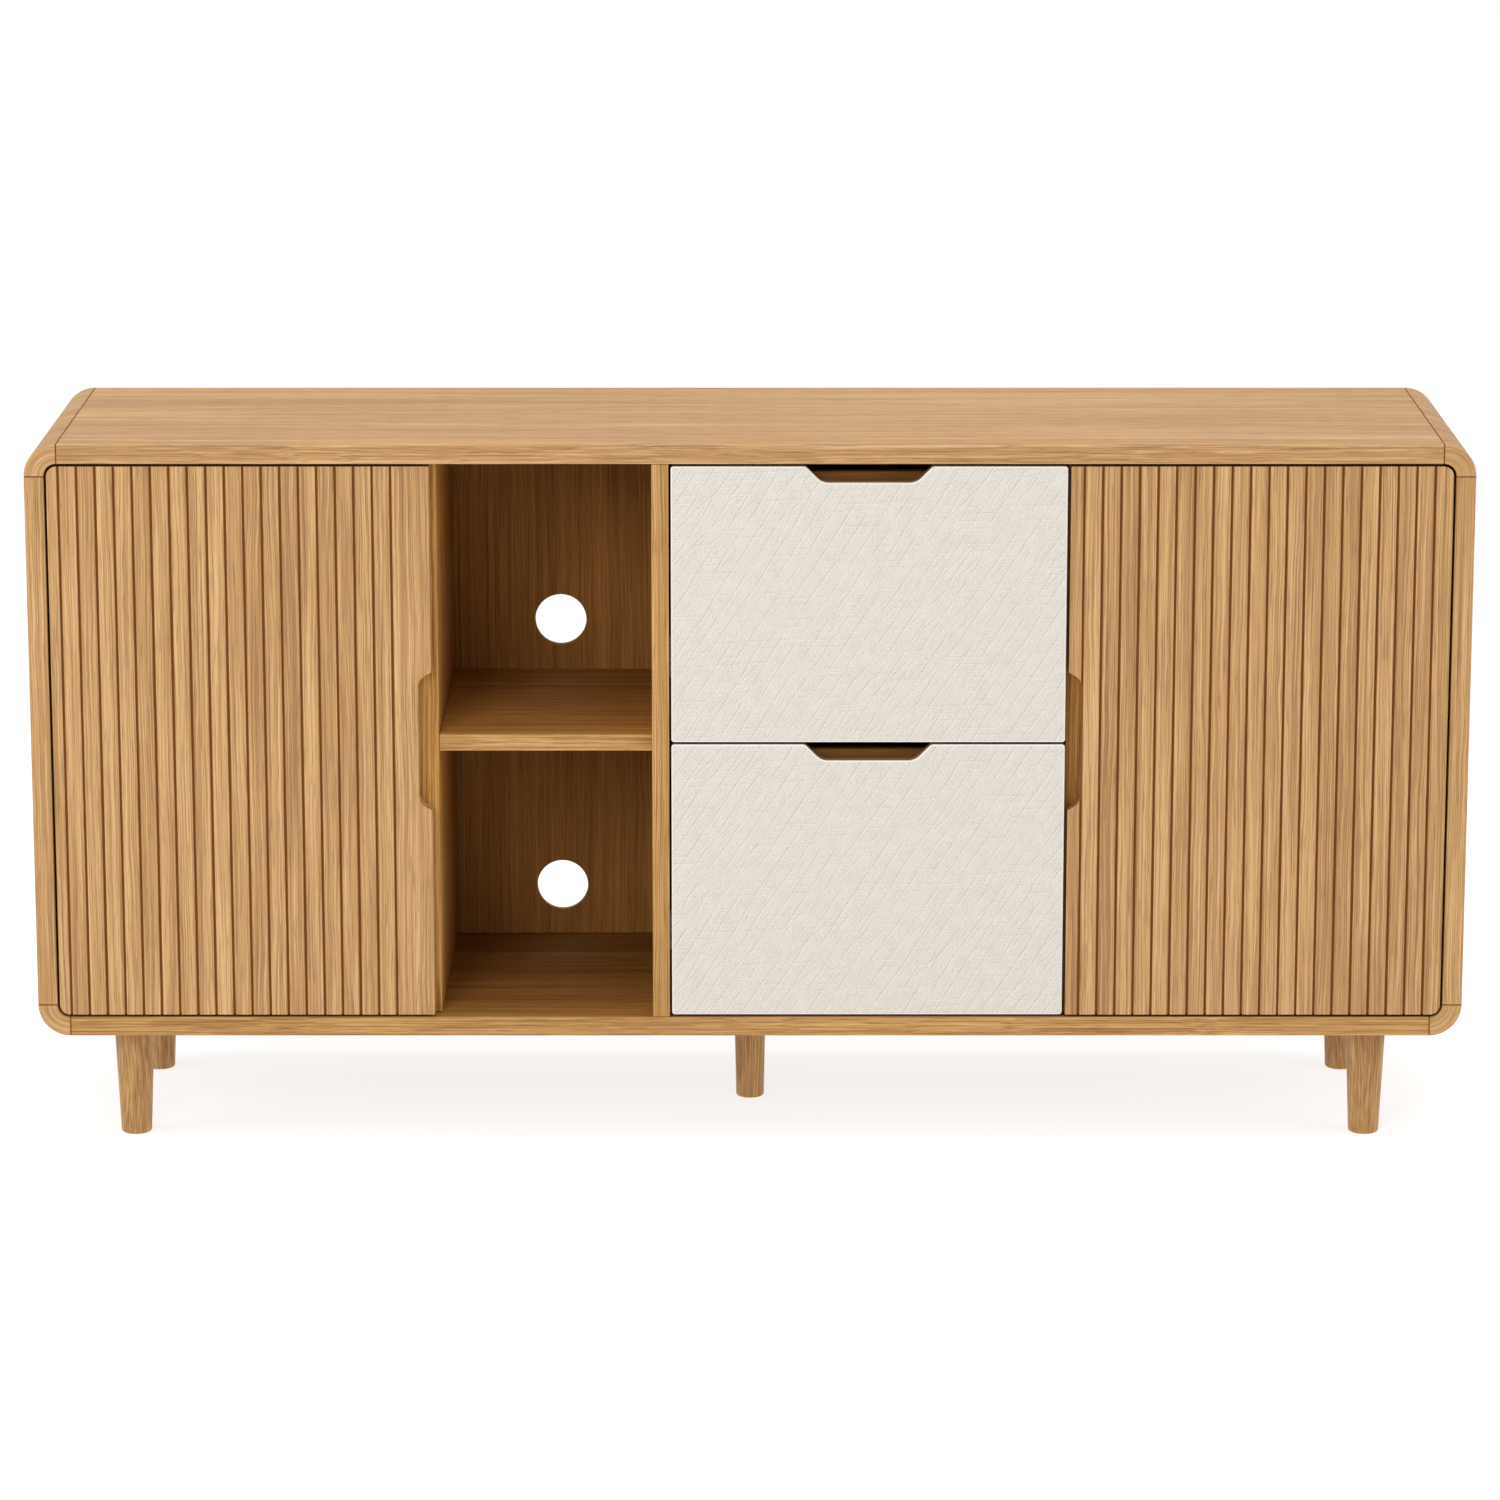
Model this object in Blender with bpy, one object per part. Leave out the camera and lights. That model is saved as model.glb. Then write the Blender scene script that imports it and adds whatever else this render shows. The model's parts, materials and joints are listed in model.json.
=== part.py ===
"""Media cabinet: a low oak case on five turned legs, with two fluted doors, an open bay and two drawers.

The origin is on the floor under the middle of the case. +X is to the right, +Y to the rear, +Z up.
Run it in Blender: blender --background --python part.py
"""

import math

import bmesh
import bpy
from mathutils import Matrix, Vector

# ---------------------------------------------------------------- driving dimensions, in metres
WIDTH = 1.600
DEPTH = 0.400
HEIGHT = 0.800
LEG_HEIGHT = 0.126
BOARD = 0.022  # thickness of the outer frame
CORNER_R = 0.036  # outer radius of the frame's corner blocks
EDGE_R = 0.0028  # rounded outer edges of the frame
INNER_EDGE_R = 0.0012  # softened inner edges of the frame
BOARD_EDGE_R = 0.0010  # softened edges of the inner boards
JOINT_CHAMFER = 0.0004  # fine bevel on both sides of each glued joint in the frame
GAP = 0.0003  # clearance between pieces that touch

PANEL = 0.019  # middle partition and shelf of the open bay
OUTER_PARTITION = 0.024  # partitions that close the bay and the drawers off from the door compartments
BACK_THICK = 0.009
BACK_INSET = 0.011  # the back panel stands this far in from the rear edge
HOLE_D = 0.060  # cable holes
HOLE_ABOVE_SHELF = 0.059  # from the surface below to a hole's centre
HOLE_X = -0.222

DOOR_THICK = 0.020
DOOR_WIDTH = 0.4214
DOOR_CORNER_R = 0.0015  # corners at the free edge
REVEAL = 0.0027  # gap between the frame and the doors or drawers
SET_BACK = 0.0215  # inner pieces stand behind the doors by this much
FLUTE_PITCH = 0.02034
FLUTE_WIDTH = 0.0024
FLUTE_DEPTH = 0.0032
FLUTE_LEAD_IN = 0.0005
LEFT_FLUTES = (0.0129, 19)  # distance of the first groove from the hinge edge, and their number
RIGHT_FLUTES = (0.0201, 20)
GRIP_Z = 0.465  # height of the doors' finger recesses
GRIP_LENGTH = 0.157
GRIP_FLAT = 0.122  # the stretch at full depth
GRIP_DEPTH = 0.0147
GRIP_SLOPE = 60  # degrees between the door's edge and the recess's ramps

LEFT_PARTITION_X = -0.347  # right face of the left partition
MIDDLE_PARTITION_X = -0.0899  # right face of the middle partition
RIGHT_PARTITION_X = 0.3515  # left face of the right partition
SHELF_Z = 0.450  # underside of the bay shelf
INNER_SHELF_Z = 0.447  # underside of the shelves behind the doors
INNER_SHELF_THICK = 0.016
INNER_SHELF_SET_BACK = 0.045

DRAWER_X = (-0.0876, 0.3504)
DRAWER_GAP = 0.0026  # between the two drawer fronts
COVER = 0.0030  # leatherette facing of a drawer front
BOARD_INSET = 0.0008  # the facing stands this far out round the edges of its board
FRONT_R = 0.0026  # rounded edge of the facing
FRONT_CORNER_R = 0.0032
CUT_WIDTH = 0.146  # finger cut-out in the top edge of a drawer front
CUT_FLAT = 0.089
CUT_DEPTH = 0.0183
CUT_SLOPE = 45
CUT_SHOULDER_R = 0.0065
SLIDE_THICK = 0.0127  # side clearance that a ball-bearing slide fills
SLIDE_HEIGHT = 0.045
SLIDE_LENGTH = 0.300
SLIDE_ABOVE = 0.080  # the slide's centre above the drawer box's lower edge
SLIDE_SET_BACK = 0.004  # from the partitions' front edges to the slide
MIDDLE_SHORTER = 0.005  # the middle member ends this far inside the other two
MIDDLE_LOWER = 0.0032  # each nested member is this much lower, above and below
DRAWER_LOWER = 0.0070
CABINET_LIP = 0.0095  # the members' webs and lips, measured out from the cabinet's wall
MIDDLE_WEB = 0.0023
MIDDLE_LIP = 0.0105
DRAWER_LIP = 0.0050
STEEL = 0.0012
BOX_SIDE = 0.012
BOX_BELOW = 0.0125  # the drawer box starts above the front's lower edge
BOX_HEIGHT = 0.258
BOX_DEPTH = 0.330
BOX_FLOOR = 0.006
BOX_FLOOR_UP = 0.008
BOX_FRONT_BELOW = 0.009  # the box's front wall ends this far below the top of the drawer front

LEG_X = 0.698
LEG_FRONT_Y = -0.147
LEG_REAR_Y = 0.122
LEG_TOP_R = 0.0225
LEG_FOOT_R = 0.0172
CENTRE_LEG_TOP_R = 0.0186
CENTRE_LEG_FOOT_R = 0.0160
FOOT_ROUND = 0.003
BOLT_R = 0.004
BOLT_LENGTH = 0.016
BOLT_CLEARANCE = 0.0004

CUP_R = 0.0172
CUP_EDGE = 0.0225  # from the door's hinge edge to the cup's centre
CUP_DEPTH = 0.0105
CUP_WALL = 0.0012
CUP_FLANGE_R = 0.0200
CUP_FLANGE = 0.0012
HINGE_FROM_END = 0.090
PLATE_HALF = 0.022  # half the height of the hinge's wall plate
PLATE_THICK = 0.0030
PLATE_Y = (-0.151, -0.105)
ARM_HALF = 0.007  # half the height of the arm
ARM_SIDE = (  # the arm seen from above, as (distance from the wall, Y)
    (0.0020, -0.1450),
    (0.0085, -0.1765),
    (0.0340, -0.1765),
    (0.0340, -0.1700),
    (0.0160, -0.1560),
    (0.0130, -0.1090),
    (0.0020, -0.1090),
)

FRONT = -DEPTH / 2
REAR = DEPTH / 2
BOTTOM = LEG_HEIGHT
INNER_X = WIDTH / 2 - BOARD
FLOOR_Z = BOTTOM + BOARD
CEILING_Z = HEIGHT - BOARD
BACK_FACE = REAR - BACK_INSET - BACK_THICK
DOOR_EDGE_X = INNER_X - REVEAL  # hinge edge of both doors
DOOR_Z = (FLOOR_Z + REVEAL, CEILING_Z - REVEAL)
DRAWER_HEIGHT = (DOOR_Z[1] - DOOR_Z[0] - DRAWER_GAP) / 2
INNER_CORNER_R = CORNER_R - BOARD

# ---------------------------------------------------------------- finishes: colour, roughness, metallic
FINISHES = {
    "oak": ((0.55, 0.33, 0.15), 0.50, 0.0),
    "oak_end": ((0.50, 0.29, 0.13), 0.55, 0.0),
    "inner_oak": ((0.30, 0.16, 0.06), 0.60, 0.0),
    "leatherette": ((0.76, 0.70, 0.63), 0.60, 0.0),
    "birch": ((0.62, 0.46, 0.28), 0.60, 0.0),
    "steel": ((0.62, 0.63, 0.65), 0.35, 1.0),
    "nickel": ((0.72, 0.70, 0.66), 0.25, 1.0),
}


# ---------------------------------------------------------------- helpers
def clear_scene():
    for obj in list(bpy.data.objects):
        bpy.data.objects.remove(obj, do_unlink=True)


def give_finish(obj, finish):
    colour, roughness, metallic = FINISHES[finish]
    material = bpy.data.materials.new(f"{obj.name}_{finish}")
    material.use_nodes = True
    shader = material.node_tree.nodes["Principled BSDF"]
    shader.inputs["Base Color"].default_value = (*colour, 1.0)
    shader.inputs["Roughness"].default_value = roughness
    shader.inputs["Metallic"].default_value = metallic
    obj.data.materials.clear()
    obj.data.materials.append(material)


def loft(name, rings, smooth=False):
    """One closed body through rings that have the same number of points, capped at both ends."""
    mesh = bpy.data.meshes.new(name)
    bm = bmesh.new()
    rows = [[bm.verts.new(point) for point in ring] for ring in rings]
    count = len(rows[0])
    for low, high in zip(rows, rows[1:]):
        for i in range(count):
            j = (i + 1) % count
            bm.faces.new((low[i], low[j], high[j], high[i]))
    bm.faces.new(list(reversed(rows[0])))
    bm.faces.new(rows[-1])
    bmesh.ops.recalc_face_normals(bm, faces=bm.faces)
    bm.to_mesh(mesh)
    bm.free()
    if smooth:
        mesh.shade_smooth()
        mesh.set_sharp_from_angle(angle=math.radians(35))
    obj = bpy.data.objects.new(name, mesh)
    bpy.context.scene.collection.objects.link(obj)
    return obj


def along_x(outline, start, end):
    return [[(x, u, v) for u, v in outline] for x in (start, end)]


def along_y(outline, start, end):
    return [[(u, y, v) for u, v in outline] for y in (start, end)]


def along_z(outline, start, end):
    return [[(u, v, z) for u, v in outline] for z in (start, end)]


def corner_arcs(u, v, radii, steps):
    """The four corner arcs of a rectangle, anticlockwise from the corner at u[0], v[0]."""
    corners = ((u[0], v[0], 180), (u[1], v[0], 270), (u[1], v[1], 0), (u[0], v[1], 90))
    arcs = []
    for (cu, cv, start), radius in zip(corners, radii):
        mu = cu + math.copysign(radius, (u[0] + u[1]) / 2 - cu)
        mv = cv + math.copysign(radius, (v[0] + v[1]) / 2 - cv)
        angles = [math.radians(start + 90 * k / steps) for k in range(steps + 1)]
        arcs.append([(mu + radius * math.cos(angle), mv + radius * math.sin(angle)) for angle in angles])
    return arcs


def rounded_rectangle(u, v, radii, steps=2):
    return sum(corner_arcs(u, v, radii, steps), [])


def inset_outline(points, distance):
    """An anticlockwise outline drawn in by the same distance all round."""
    drawn_in = []
    for i, here in enumerate(points):
        before = Vector(points[i - 1])
        after = Vector(points[(i + 1) % len(points)])
        incoming = (Vector(here) - before).normalized()
        outgoing = (after - Vector(here)).normalized()
        normal = Vector((-incoming.y - outgoing.y, incoming.x + outgoing.x)).normalized()
        shift = distance / max(0.5, Vector((-incoming.y, incoming.x)).dot(normal))
        drawn_in.append((here[0] + normal.x * shift, here[1] + normal.y * shift))
    return drawn_in


def circle(radius, segments):
    turns = (2 * math.pi * k / segments for k in range(segments))
    return [(radius * math.cos(turn), radius * math.sin(turn)) for turn in turns]


def turned(name, profile, centre, axis="z", segments=32):
    """A turned piece: profile is a run of (radius, height) along the axis, flat at both ends."""
    x, y, z = centre
    rings = []
    for radius, height in profile:
        ring = circle(radius, segments)
        if axis == "z":
            rings.append([(x + u, y + v, z + height) for u, v in ring])
        else:
            rings.append([(x + u, y + height, z + v) for u, v in ring])
    return loft(name, rings, smooth=True)


def combine(obj, cutter, operation):
    """Applies one exact Boolean, and removes the cutter."""
    cutter.hide_render = True
    cutter.display_type = "WIRE"
    modifier = obj.modifiers.new(cutter.name, "BOOLEAN")
    modifier.operation = operation
    modifier.object = cutter
    modifier.solver = "EXACT"
    graph = bpy.context.evaluated_depsgraph_get()
    mesh = bpy.data.meshes.new_from_object(obj.evaluated_get(graph))
    obj.modifiers.clear()
    obj.data = mesh
    bpy.data.objects.remove(cutter, do_unlink=True)


def pivot(name, place):
    """An empty on a joint's axis, which carries the pieces of one moving body."""
    empty = bpy.data.objects.new(name, None)
    empty.location = place
    bpy.context.scene.collection.objects.link(empty)
    return empty


def settle(obj, finish, carrier=None):
    """Gives a piece its finish, puts its origin at its own middle, and hangs it on its carrier."""
    give_finish(obj, finish)
    corners = [Vector(corner) for corner in obj.bound_box]
    middle = (corners[0] + corners[6]) / 2
    obj.data.transform(Matrix.Translation(-middle))
    obj.location = middle
    if carrier is not None:
        obj.parent = carrier
        obj.location = middle - carrier.location
    return obj


def board(name, x, y, z, finish, carrier=None, grain="x", radius=BOARD_EDGE_R):
    """A flat board with softened long edges. grain is the direction that it runs in."""
    radii = (radius,) * 4
    if grain == "x":
        rings = along_x(rounded_rectangle(y, z, radii), *x)
    elif grain == "y":
        rings = along_y(rounded_rectangle(x, z, radii), *y)
    else:
        rings = along_z(rounded_rectangle(x, y, radii), *z)
    return settle(loft(name, rings), finish, carrier)


def inside(low, high):
    """A span that leaves the clearance at both ends."""
    return (low + GAP, high - GAP)


# ---------------------------------------------------------------- frame
def frame_section():
    """The frame's cross-section: distance outward from the outer face (so 0 or less), and Y."""
    radii = (INNER_EDGE_R, EDGE_R, EDGE_R, INNER_EDGE_R)
    return rounded_rectangle((-BOARD, 0), (FRONT, REAR), radii, steps=3)


def jointed(start, end):
    """Stations along a frame piece, each with its section. Both ends carry a glued joint's fine bevel."""
    full = frame_section()
    small = inset_outline(full, JOINT_CHAMFER)
    bevel = math.copysign(JOINT_CHAMFER, end - start)
    return [(start, small), (start + bevel, full), (end - bevel, full), (end, small)]


def frame_boards():
    span_x = inside(CORNER_R - WIDTH / 2, WIDTH / 2 - CORNER_R)
    span_z = inside(BOTTOM + CORNER_R, HEIGHT - CORNER_R)
    top = [[(x, v, HEIGHT + u) for u, v in section] for x, section in jointed(*span_x)]
    settle(loft("top_board", top), "oak")
    for name, side in (("left_side_panel", -1), ("right_side_panel", 1)):
        rings = [[(side * (WIDTH / 2 + u), v, z) for u, v in section] for z, section in jointed(*span_z)]
        settle(loft(name, rings), "oak")
    rings = [[(x, v, BOTTOM - u) for u, v in section] for x, section in jointed(*span_x)]
    bottom = loft("bottom_board", rings)
    for x, y, _, _ in leg_places().values():
        hole_r = BOLT_R + BOLT_CLEARANCE
        hole = [(hole_r, -BOARD / 2), (hole_r, BOLT_LENGTH + BOLT_CLEARANCE)]
        combine(bottom, turned("bolt_hole", hole, (x, y, BOTTOM), segments=12), "DIFFERENCE")
    settle(bottom, "oak")


def corner_blocks():
    """Solid quarter rings, glued between the straight boards."""
    steps = 12
    first, second, *_, last = jointed(0, math.pi / 2 * CORNER_R)
    stations = [(arc / CORNER_R, section) for arc, section in (first, second)]
    stations += [(math.pi / 2 * k / steps, second[1]) for k in range(1, steps)]
    stations += [(math.pi / 2 - second[0] / CORNER_R, second[1]), (math.pi / 2, last[1])]
    starts = {"upper_right": (1, 1), "upper_left": (-1, 1), "lower_left": (-1, -1), "lower_right": (1, -1)}
    for name, (side, level) in starts.items():
        cx = side * (WIDTH / 2 - CORNER_R)
        cz = HEIGHT - CORNER_R if level > 0 else BOTTOM + CORNER_R
        rings = []
        for angle, section in stations:
            out_x = side * math.cos(angle)
            out_z = level * math.sin(angle)
            points = [(CORNER_R + u, v) for u, v in section]
            rings.append([(cx + reach * out_x, v, cz + reach * out_z) for reach, v in points])
        settle(loft(f"{name}_corner_block", rings, smooth=True), "oak_end")


def partitions():
    height = inside(FLOOR_Z, CEILING_Z)
    rear = BACK_FACE - GAP
    left = (LEFT_PARTITION_X - OUTER_PARTITION, LEFT_PARTITION_X)
    middle = (MIDDLE_PARTITION_X - PANEL, MIDDLE_PARTITION_X)
    right = (RIGHT_PARTITION_X, RIGHT_PARTITION_X + OUTER_PARTITION)
    board("left_partition", left, (FRONT + SET_BACK, rear), height, "oak", grain="z")
    board("middle_partition", middle, (FRONT, rear), height, "oak", grain="z")
    board("right_partition", right, (FRONT + SET_BACK, rear), height, "oak", grain="z")


def shelves():
    rear = BACK_FACE - GAP
    span = inside(LEFT_PARTITION_X, MIDDLE_PARTITION_X - PANEL)
    board("bay_shelf", span, (FRONT + SET_BACK, rear), (SHELF_Z, SHELF_Z + PANEL), "oak")
    depth = (FRONT + SET_BACK + INNER_SHELF_SET_BACK, rear)
    height = (INNER_SHELF_Z, INNER_SHELF_Z + INNER_SHELF_THICK)
    left = inside(-INNER_X, LEFT_PARTITION_X - OUTER_PARTITION)
    right = inside(RIGHT_PARTITION_X + OUTER_PARTITION, INNER_X)
    board("left_cabinet_shelf", left, depth, height, "inner_oak")
    board("right_cabinet_shelf", right, depth, height, "inner_oak")


def back_panel():
    """A thin panel let in between the frame boards, with a cable hole behind each half of the bay."""
    u = inside(-INNER_X, INNER_X)
    v = inside(FLOOR_Z, CEILING_Z)
    outline = rounded_rectangle(u, v, (INNER_CORNER_R,) * 4, steps=5)
    panel = loft("back_panel", along_y(outline, BACK_FACE, BACK_FACE + BACK_THICK))
    for ground in (FLOOR_Z, SHELF_Z + PANEL):
        profile = [(HOLE_D / 2, -BACK_THICK), (HOLE_D / 2, 2 * BACK_THICK)]
        centre = (HOLE_X, BACK_FACE, ground + HOLE_ABOVE_SHELF)
        combine(panel, turned("cable_hole", profile, centre, axis="y", segments=36), "DIFFERENCE")
    settle(panel, "inner_oak")


# ---------------------------------------------------------------- legs
def leg_places():
    """Name of each leg with its X, Y and the radii of its top and its foot."""
    corner = (LEG_TOP_R, LEG_FOOT_R)
    return {
        "front_left_leg": (-LEG_X, LEG_FRONT_Y, *corner),
        "front_right_leg": (LEG_X, LEG_FRONT_Y, *corner),
        "rear_left_leg": (-LEG_X, LEG_REAR_Y, *corner),
        "rear_right_leg": (LEG_X, LEG_REAR_Y, *corner),
        "centre_leg": (0.0, 0.0, CENTRE_LEG_TOP_R, CENTRE_LEG_FOOT_R),
    }


def legs():
    """Tapered turned legs, each with the bolt that screws up into the bottom board."""
    top = BOTTOM - GAP
    steps = 3
    for name, (x, y, top_r, foot_r) in leg_places().items():
        profile = []
        for k in range(steps + 1):
            angle = math.pi / 2 * k / steps
            radius = foot_r - FOOT_ROUND * (1 - math.sin(angle))
            profile.append((radius, FOOT_ROUND * (1 - math.cos(angle))))
        profile += [(top_r, top), (BOLT_R, top), (BOLT_R, top + BOLT_LENGTH)]
        settle(turned(name, profile, (x, y, 0)), "oak")


# ---------------------------------------------------------------- doors
def notch(width, flat, depth, slope, shoulder_r, steps=6):
    """A finger notch, as (distance along the edge, depth).

    Each end rounds a shoulder, ramps down at the slope, and turns through a wide arc into the flat floor.
    The arc's radius and the ramp's length follow from the rest.
    """
    ramp = (width - flat) / 2
    turn = math.radians(slope)
    sine, cosine = math.sin(turn), math.cos(turn)
    floor_r = (ramp * sine - depth * cosine) / (1 - cosine) - shoulder_r
    angles = [turn * k / steps for k in range(steps + 1)]
    down = [(-width / 2, 0.0)]
    if shoulder_r:
        along = -width / 2
        down = [(along + shoulder_r * math.sin(a), shoulder_r * (1 - math.cos(a))) for a in angles]
    for a in reversed(angles):
        down.append((-flat / 2 - floor_r * math.sin(a), depth - floor_r * (1 - math.cos(a))))
    return down + [(-along, d) for along, d in reversed(down)]


def flute_line(x_hinge, toward, flutes, face, rear):
    """The door's plan: a flat slab whose front is cut by grooves, from the hinge edge to the free edge."""
    first, count = flutes
    half = FLUTE_WIDTH / 2
    points = [(0, rear), (0, face)]
    for k in range(count):
        centre = first + FLUTE_PITCH * k
        points += [
            (centre - half - FLUTE_LEAD_IN, face),
            (centre - half, face + FLUTE_LEAD_IN),
            (centre - half, face + FLUTE_DEPTH),
            (centre + half, face + FLUTE_DEPTH),
            (centre + half, face + FLUTE_LEAD_IN),
            (centre + half + FLUTE_LEAD_IN, face),
        ]
    points += [(DOOR_WIDTH, face), (DOOR_WIDTH, rear)]
    return [(x_hinge + toward * along, y) for along, y in points]


def door_outline(x_hinge, toward):
    """The door seen from the front: rounded at the hinge side like the frame, with the finger recess."""
    radius = INNER_CORNER_R - REVEAL
    radii = (radius, DOOR_CORNER_R, DOOR_CORNER_R, radius)
    lower_hinge, lower_free, upper_free, upper_hinge = corner_arcs((0, DOOR_WIDTH), DOOR_Z, radii, 8)
    grip = notch(GRIP_LENGTH, GRIP_FLAT, GRIP_DEPTH, GRIP_SLOPE, 0)
    recess = [(DOOR_WIDTH - d, GRIP_Z + along) for along, d in grip]
    points = lower_hinge + lower_free + recess + upper_free + upper_hinge
    return [(x_hinge + toward * along, z) for along, z in points]


def door(side, x_hinge, toward, flutes):
    """One fluted leaf with its two hinge cups, and the hinge arms on the side panel."""
    carrier = pivot(f"{side}_door_pivot", (x_hinge, FRONT, (DOOR_Z[0] + DOOR_Z[1]) / 2))
    rear = FRONT + DOOR_THICK
    over = DOOR_THICK / 2  # how far a cutter reaches past the door
    plan = flute_line(x_hinge, toward, flutes, FRONT, rear)
    leaf = loft(f"{side}_door", along_z(plan, DOOR_Z[0] - over, DOOR_Z[1] + over))
    outline = door_outline(x_hinge, toward)
    combine(leaf, loft("door_shape", along_y(outline, FRONT - over, rear + over)), "INTERSECT")
    for level, z in (("upper", DOOR_Z[1] - HINGE_FROM_END), ("lower", DOOR_Z[0] + HINGE_FROM_END)):
        centre = (x_hinge + toward * CUP_EDGE, rear, z)
        bore = [(CUP_R + GAP, -CUP_DEPTH - GAP), (CUP_R + GAP, over)]
        combine(leaf, turned("cup_bore", bore, centre, axis="y", segments=20), "DIFFERENCE")
        hinge_cup(f"{side}_{level}_hinge_cup", centre, carrier)
        hinge_arm(f"{side}_{level}_hinge_arm", -toward * INNER_X, toward, z)
    settle(leaf, "oak", carrier)


def hinge_cup(name, centre, carrier):
    profile = [
        (CUP_R - CUP_WALL, -CUP_DEPTH + CUP_WALL),
        (CUP_R - CUP_WALL, GAP + CUP_FLANGE),
        (CUP_FLANGE_R, GAP + CUP_FLANGE),
        (CUP_FLANGE_R, GAP),
        (CUP_R, GAP),
        (CUP_R, -CUP_DEPTH),
    ]
    settle(turned(name, profile, centre, axis="y", segments=20), "nickel", carrier)


def hinge_arm(name, x_wall, toward, z):
    """The plate screwed to the side panel, and the arm that reaches from it to just behind the cup."""
    low_y, high_y = PLATE_Y
    plate = [(GAP, low_y), (PLATE_THICK, low_y), (PLATE_THICK, high_y), (GAP, high_y)]
    plate = [(x_wall + toward * out, y) for out, y in plate]
    arm = [(x_wall + toward * out, y) for out, y in ARM_SIDE]
    body = loft(name, along_z(plate, z - PLATE_HALF, z + PLATE_HALF))
    combine(body, loft("arm", along_z(arm, z - ARM_HALF, z + ARM_HALF)), "UNION")
    settle(body, "nickel")


# ---------------------------------------------------------------- drawers
def front_outline(low_z, inset):
    """A drawer front's outline, drawn in by inset all round, with the finger cut-out in its top edge."""
    top = low_z + DRAWER_HEIGHT
    arcs = corner_arcs(DRAWER_X, (low_z, top), (FRONT_CORNER_R,) * 4, 4)
    middle = sum(DRAWER_X) / 2
    cut = notch(CUT_WIDTH, CUT_FLAT, CUT_DEPTH, CUT_SLOPE, CUT_SHOULDER_R)
    finger_cut = [(middle - along, top - d) for along, d in cut]
    lower_left, lower_right, upper_right, upper_left = arcs
    return inset_outline(lower_left + lower_right + upper_right + finger_cut + upper_left, inset)


def drawer_front(name, low_z, carrier):
    """An oak board faced with padded leatherette, whose edge is rounded over at the front."""
    rings = []
    steps = 3
    for k in range(steps + 1):
        angle = math.pi / 2 * k / steps
        outline = front_outline(low_z, FRONT_R * (1 - math.sin(angle)))
        rings.append([(x, FRONT + FRONT_R * (1 - math.cos(angle)), z) for x, z in outline])
    rings.append([(x, FRONT + COVER, z) for x, z in front_outline(low_z, 0)])
    settle(loft(f"{name}_cover", rings), "leatherette", carrier)
    board_y = (FRONT + COVER + GAP, FRONT + DOOR_THICK - GAP)
    core = along_y(front_outline(low_z, BOARD_INSET), *board_y)
    settle(loft(f"{name}_front_board", core), "oak", carrier)


def drawer_box(name, low_z, carrier):
    """Four walls and a bottom. The front wall is taller, and closes the finger cut-out from behind."""
    left = MIDDLE_PARTITION_X + SLIDE_THICK
    right = RIGHT_PARTITION_X - SLIDE_THICK
    y = (FRONT + DOOR_THICK, FRONT + DOOR_THICK + BOX_DEPTH)
    z = (low_z + BOX_BELOW, low_z + BOX_BELOW + BOX_HEIGHT)
    for side, x in (("left", (left, left + BOX_SIDE)), ("right", (right - BOX_SIDE, right))):
        board(f"{name}_{side}_side", x, y, z, "birch", carrier, grain="y")
    inner = inside(left + BOX_SIDE, right - BOX_SIDE)
    board(f"{name}_back", inner, (y[1] - BOX_SIDE, y[1]), z, "birch", carrier)
    wall_top = low_z + DRAWER_HEIGHT - BOX_FRONT_BELOW
    board(f"{name}_box_front", inner, (y[0], y[0] + BOX_SIDE), (z[0], wall_top), "inner_oak", carrier)
    floor = (z[0] + BOX_FLOOR_UP, z[0] + BOX_FLOOR_UP + BOX_FLOOR)
    depth = inside(y[0] + BOX_SIDE, y[1] - BOX_SIDE)
    board(f"{name}_bottom", inner, depth, floor, "birch", carrier, radius=BOARD_EDGE_R / 2)


def channel(web, lip, half):
    """A thin steel channel's outline: its web at one side distance, its lips reaching to the other."""
    inward = math.copysign(STEEL, lip - web)
    return [
        (web, -half),
        (lip, -half),
        (lip, -half + STEEL),
        (web + inward, -half + STEEL),
        (web + inward, half - STEEL),
        (lip, half - STEEL),
        (lip, half),
        (web, half),
    ]


def slide(name, side, low_z, rail_carrier, drawer_carrier):
    """A three-part ball-bearing slide: cabinet, middle and drawer members nested in each other."""
    wall, toward = (MIDDLE_PARTITION_X, 1) if side == "left" else (RIGHT_PARTITION_X, -1)
    centre_z = low_z + BOX_BELOW + SLIDE_ABOVE
    start = FRONT + SET_BACK + SLIDE_SET_BACK
    full = (start, start + SLIDE_LENGTH)
    shorter = (start + MIDDLE_SHORTER, start + SLIDE_LENGTH - MIDDLE_SHORTER)
    half = SLIDE_HEIGHT / 2
    cabinet = channel(GAP, CABINET_LIP, half)
    middle = channel(MIDDLE_WEB, MIDDLE_LIP, half - MIDDLE_LOWER)
    inner = channel(SLIDE_THICK - GAP, DRAWER_LIP, half - DRAWER_LOWER)
    members = (
        ("cabinet_rail", cabinet, full, None),
        ("middle_rail", middle, shorter, rail_carrier),
        ("drawer_rail", inner, full, drawer_carrier),
    )
    for part, outline, span, carrier in members:
        points = [(wall + toward * out, centre_z + up) for out, up in outline]
        settle(loft(f"{name}_{side}_{part}", along_y(points, *span)), "steel", carrier)


def drawer(name, low_z):
    middle = (sum(DRAWER_X) / 2, FRONT, low_z + DRAWER_HEIGHT / 2)
    carrier = pivot(f"{name}_travel", middle)
    rail_carrier = pivot(f"{name}_rail_travel", middle)
    drawer_front(name, low_z, carrier)
    drawer_box(name, low_z, carrier)
    for side in ("left", "right"):
        slide(name, side, low_z, rail_carrier, carrier)


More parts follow.
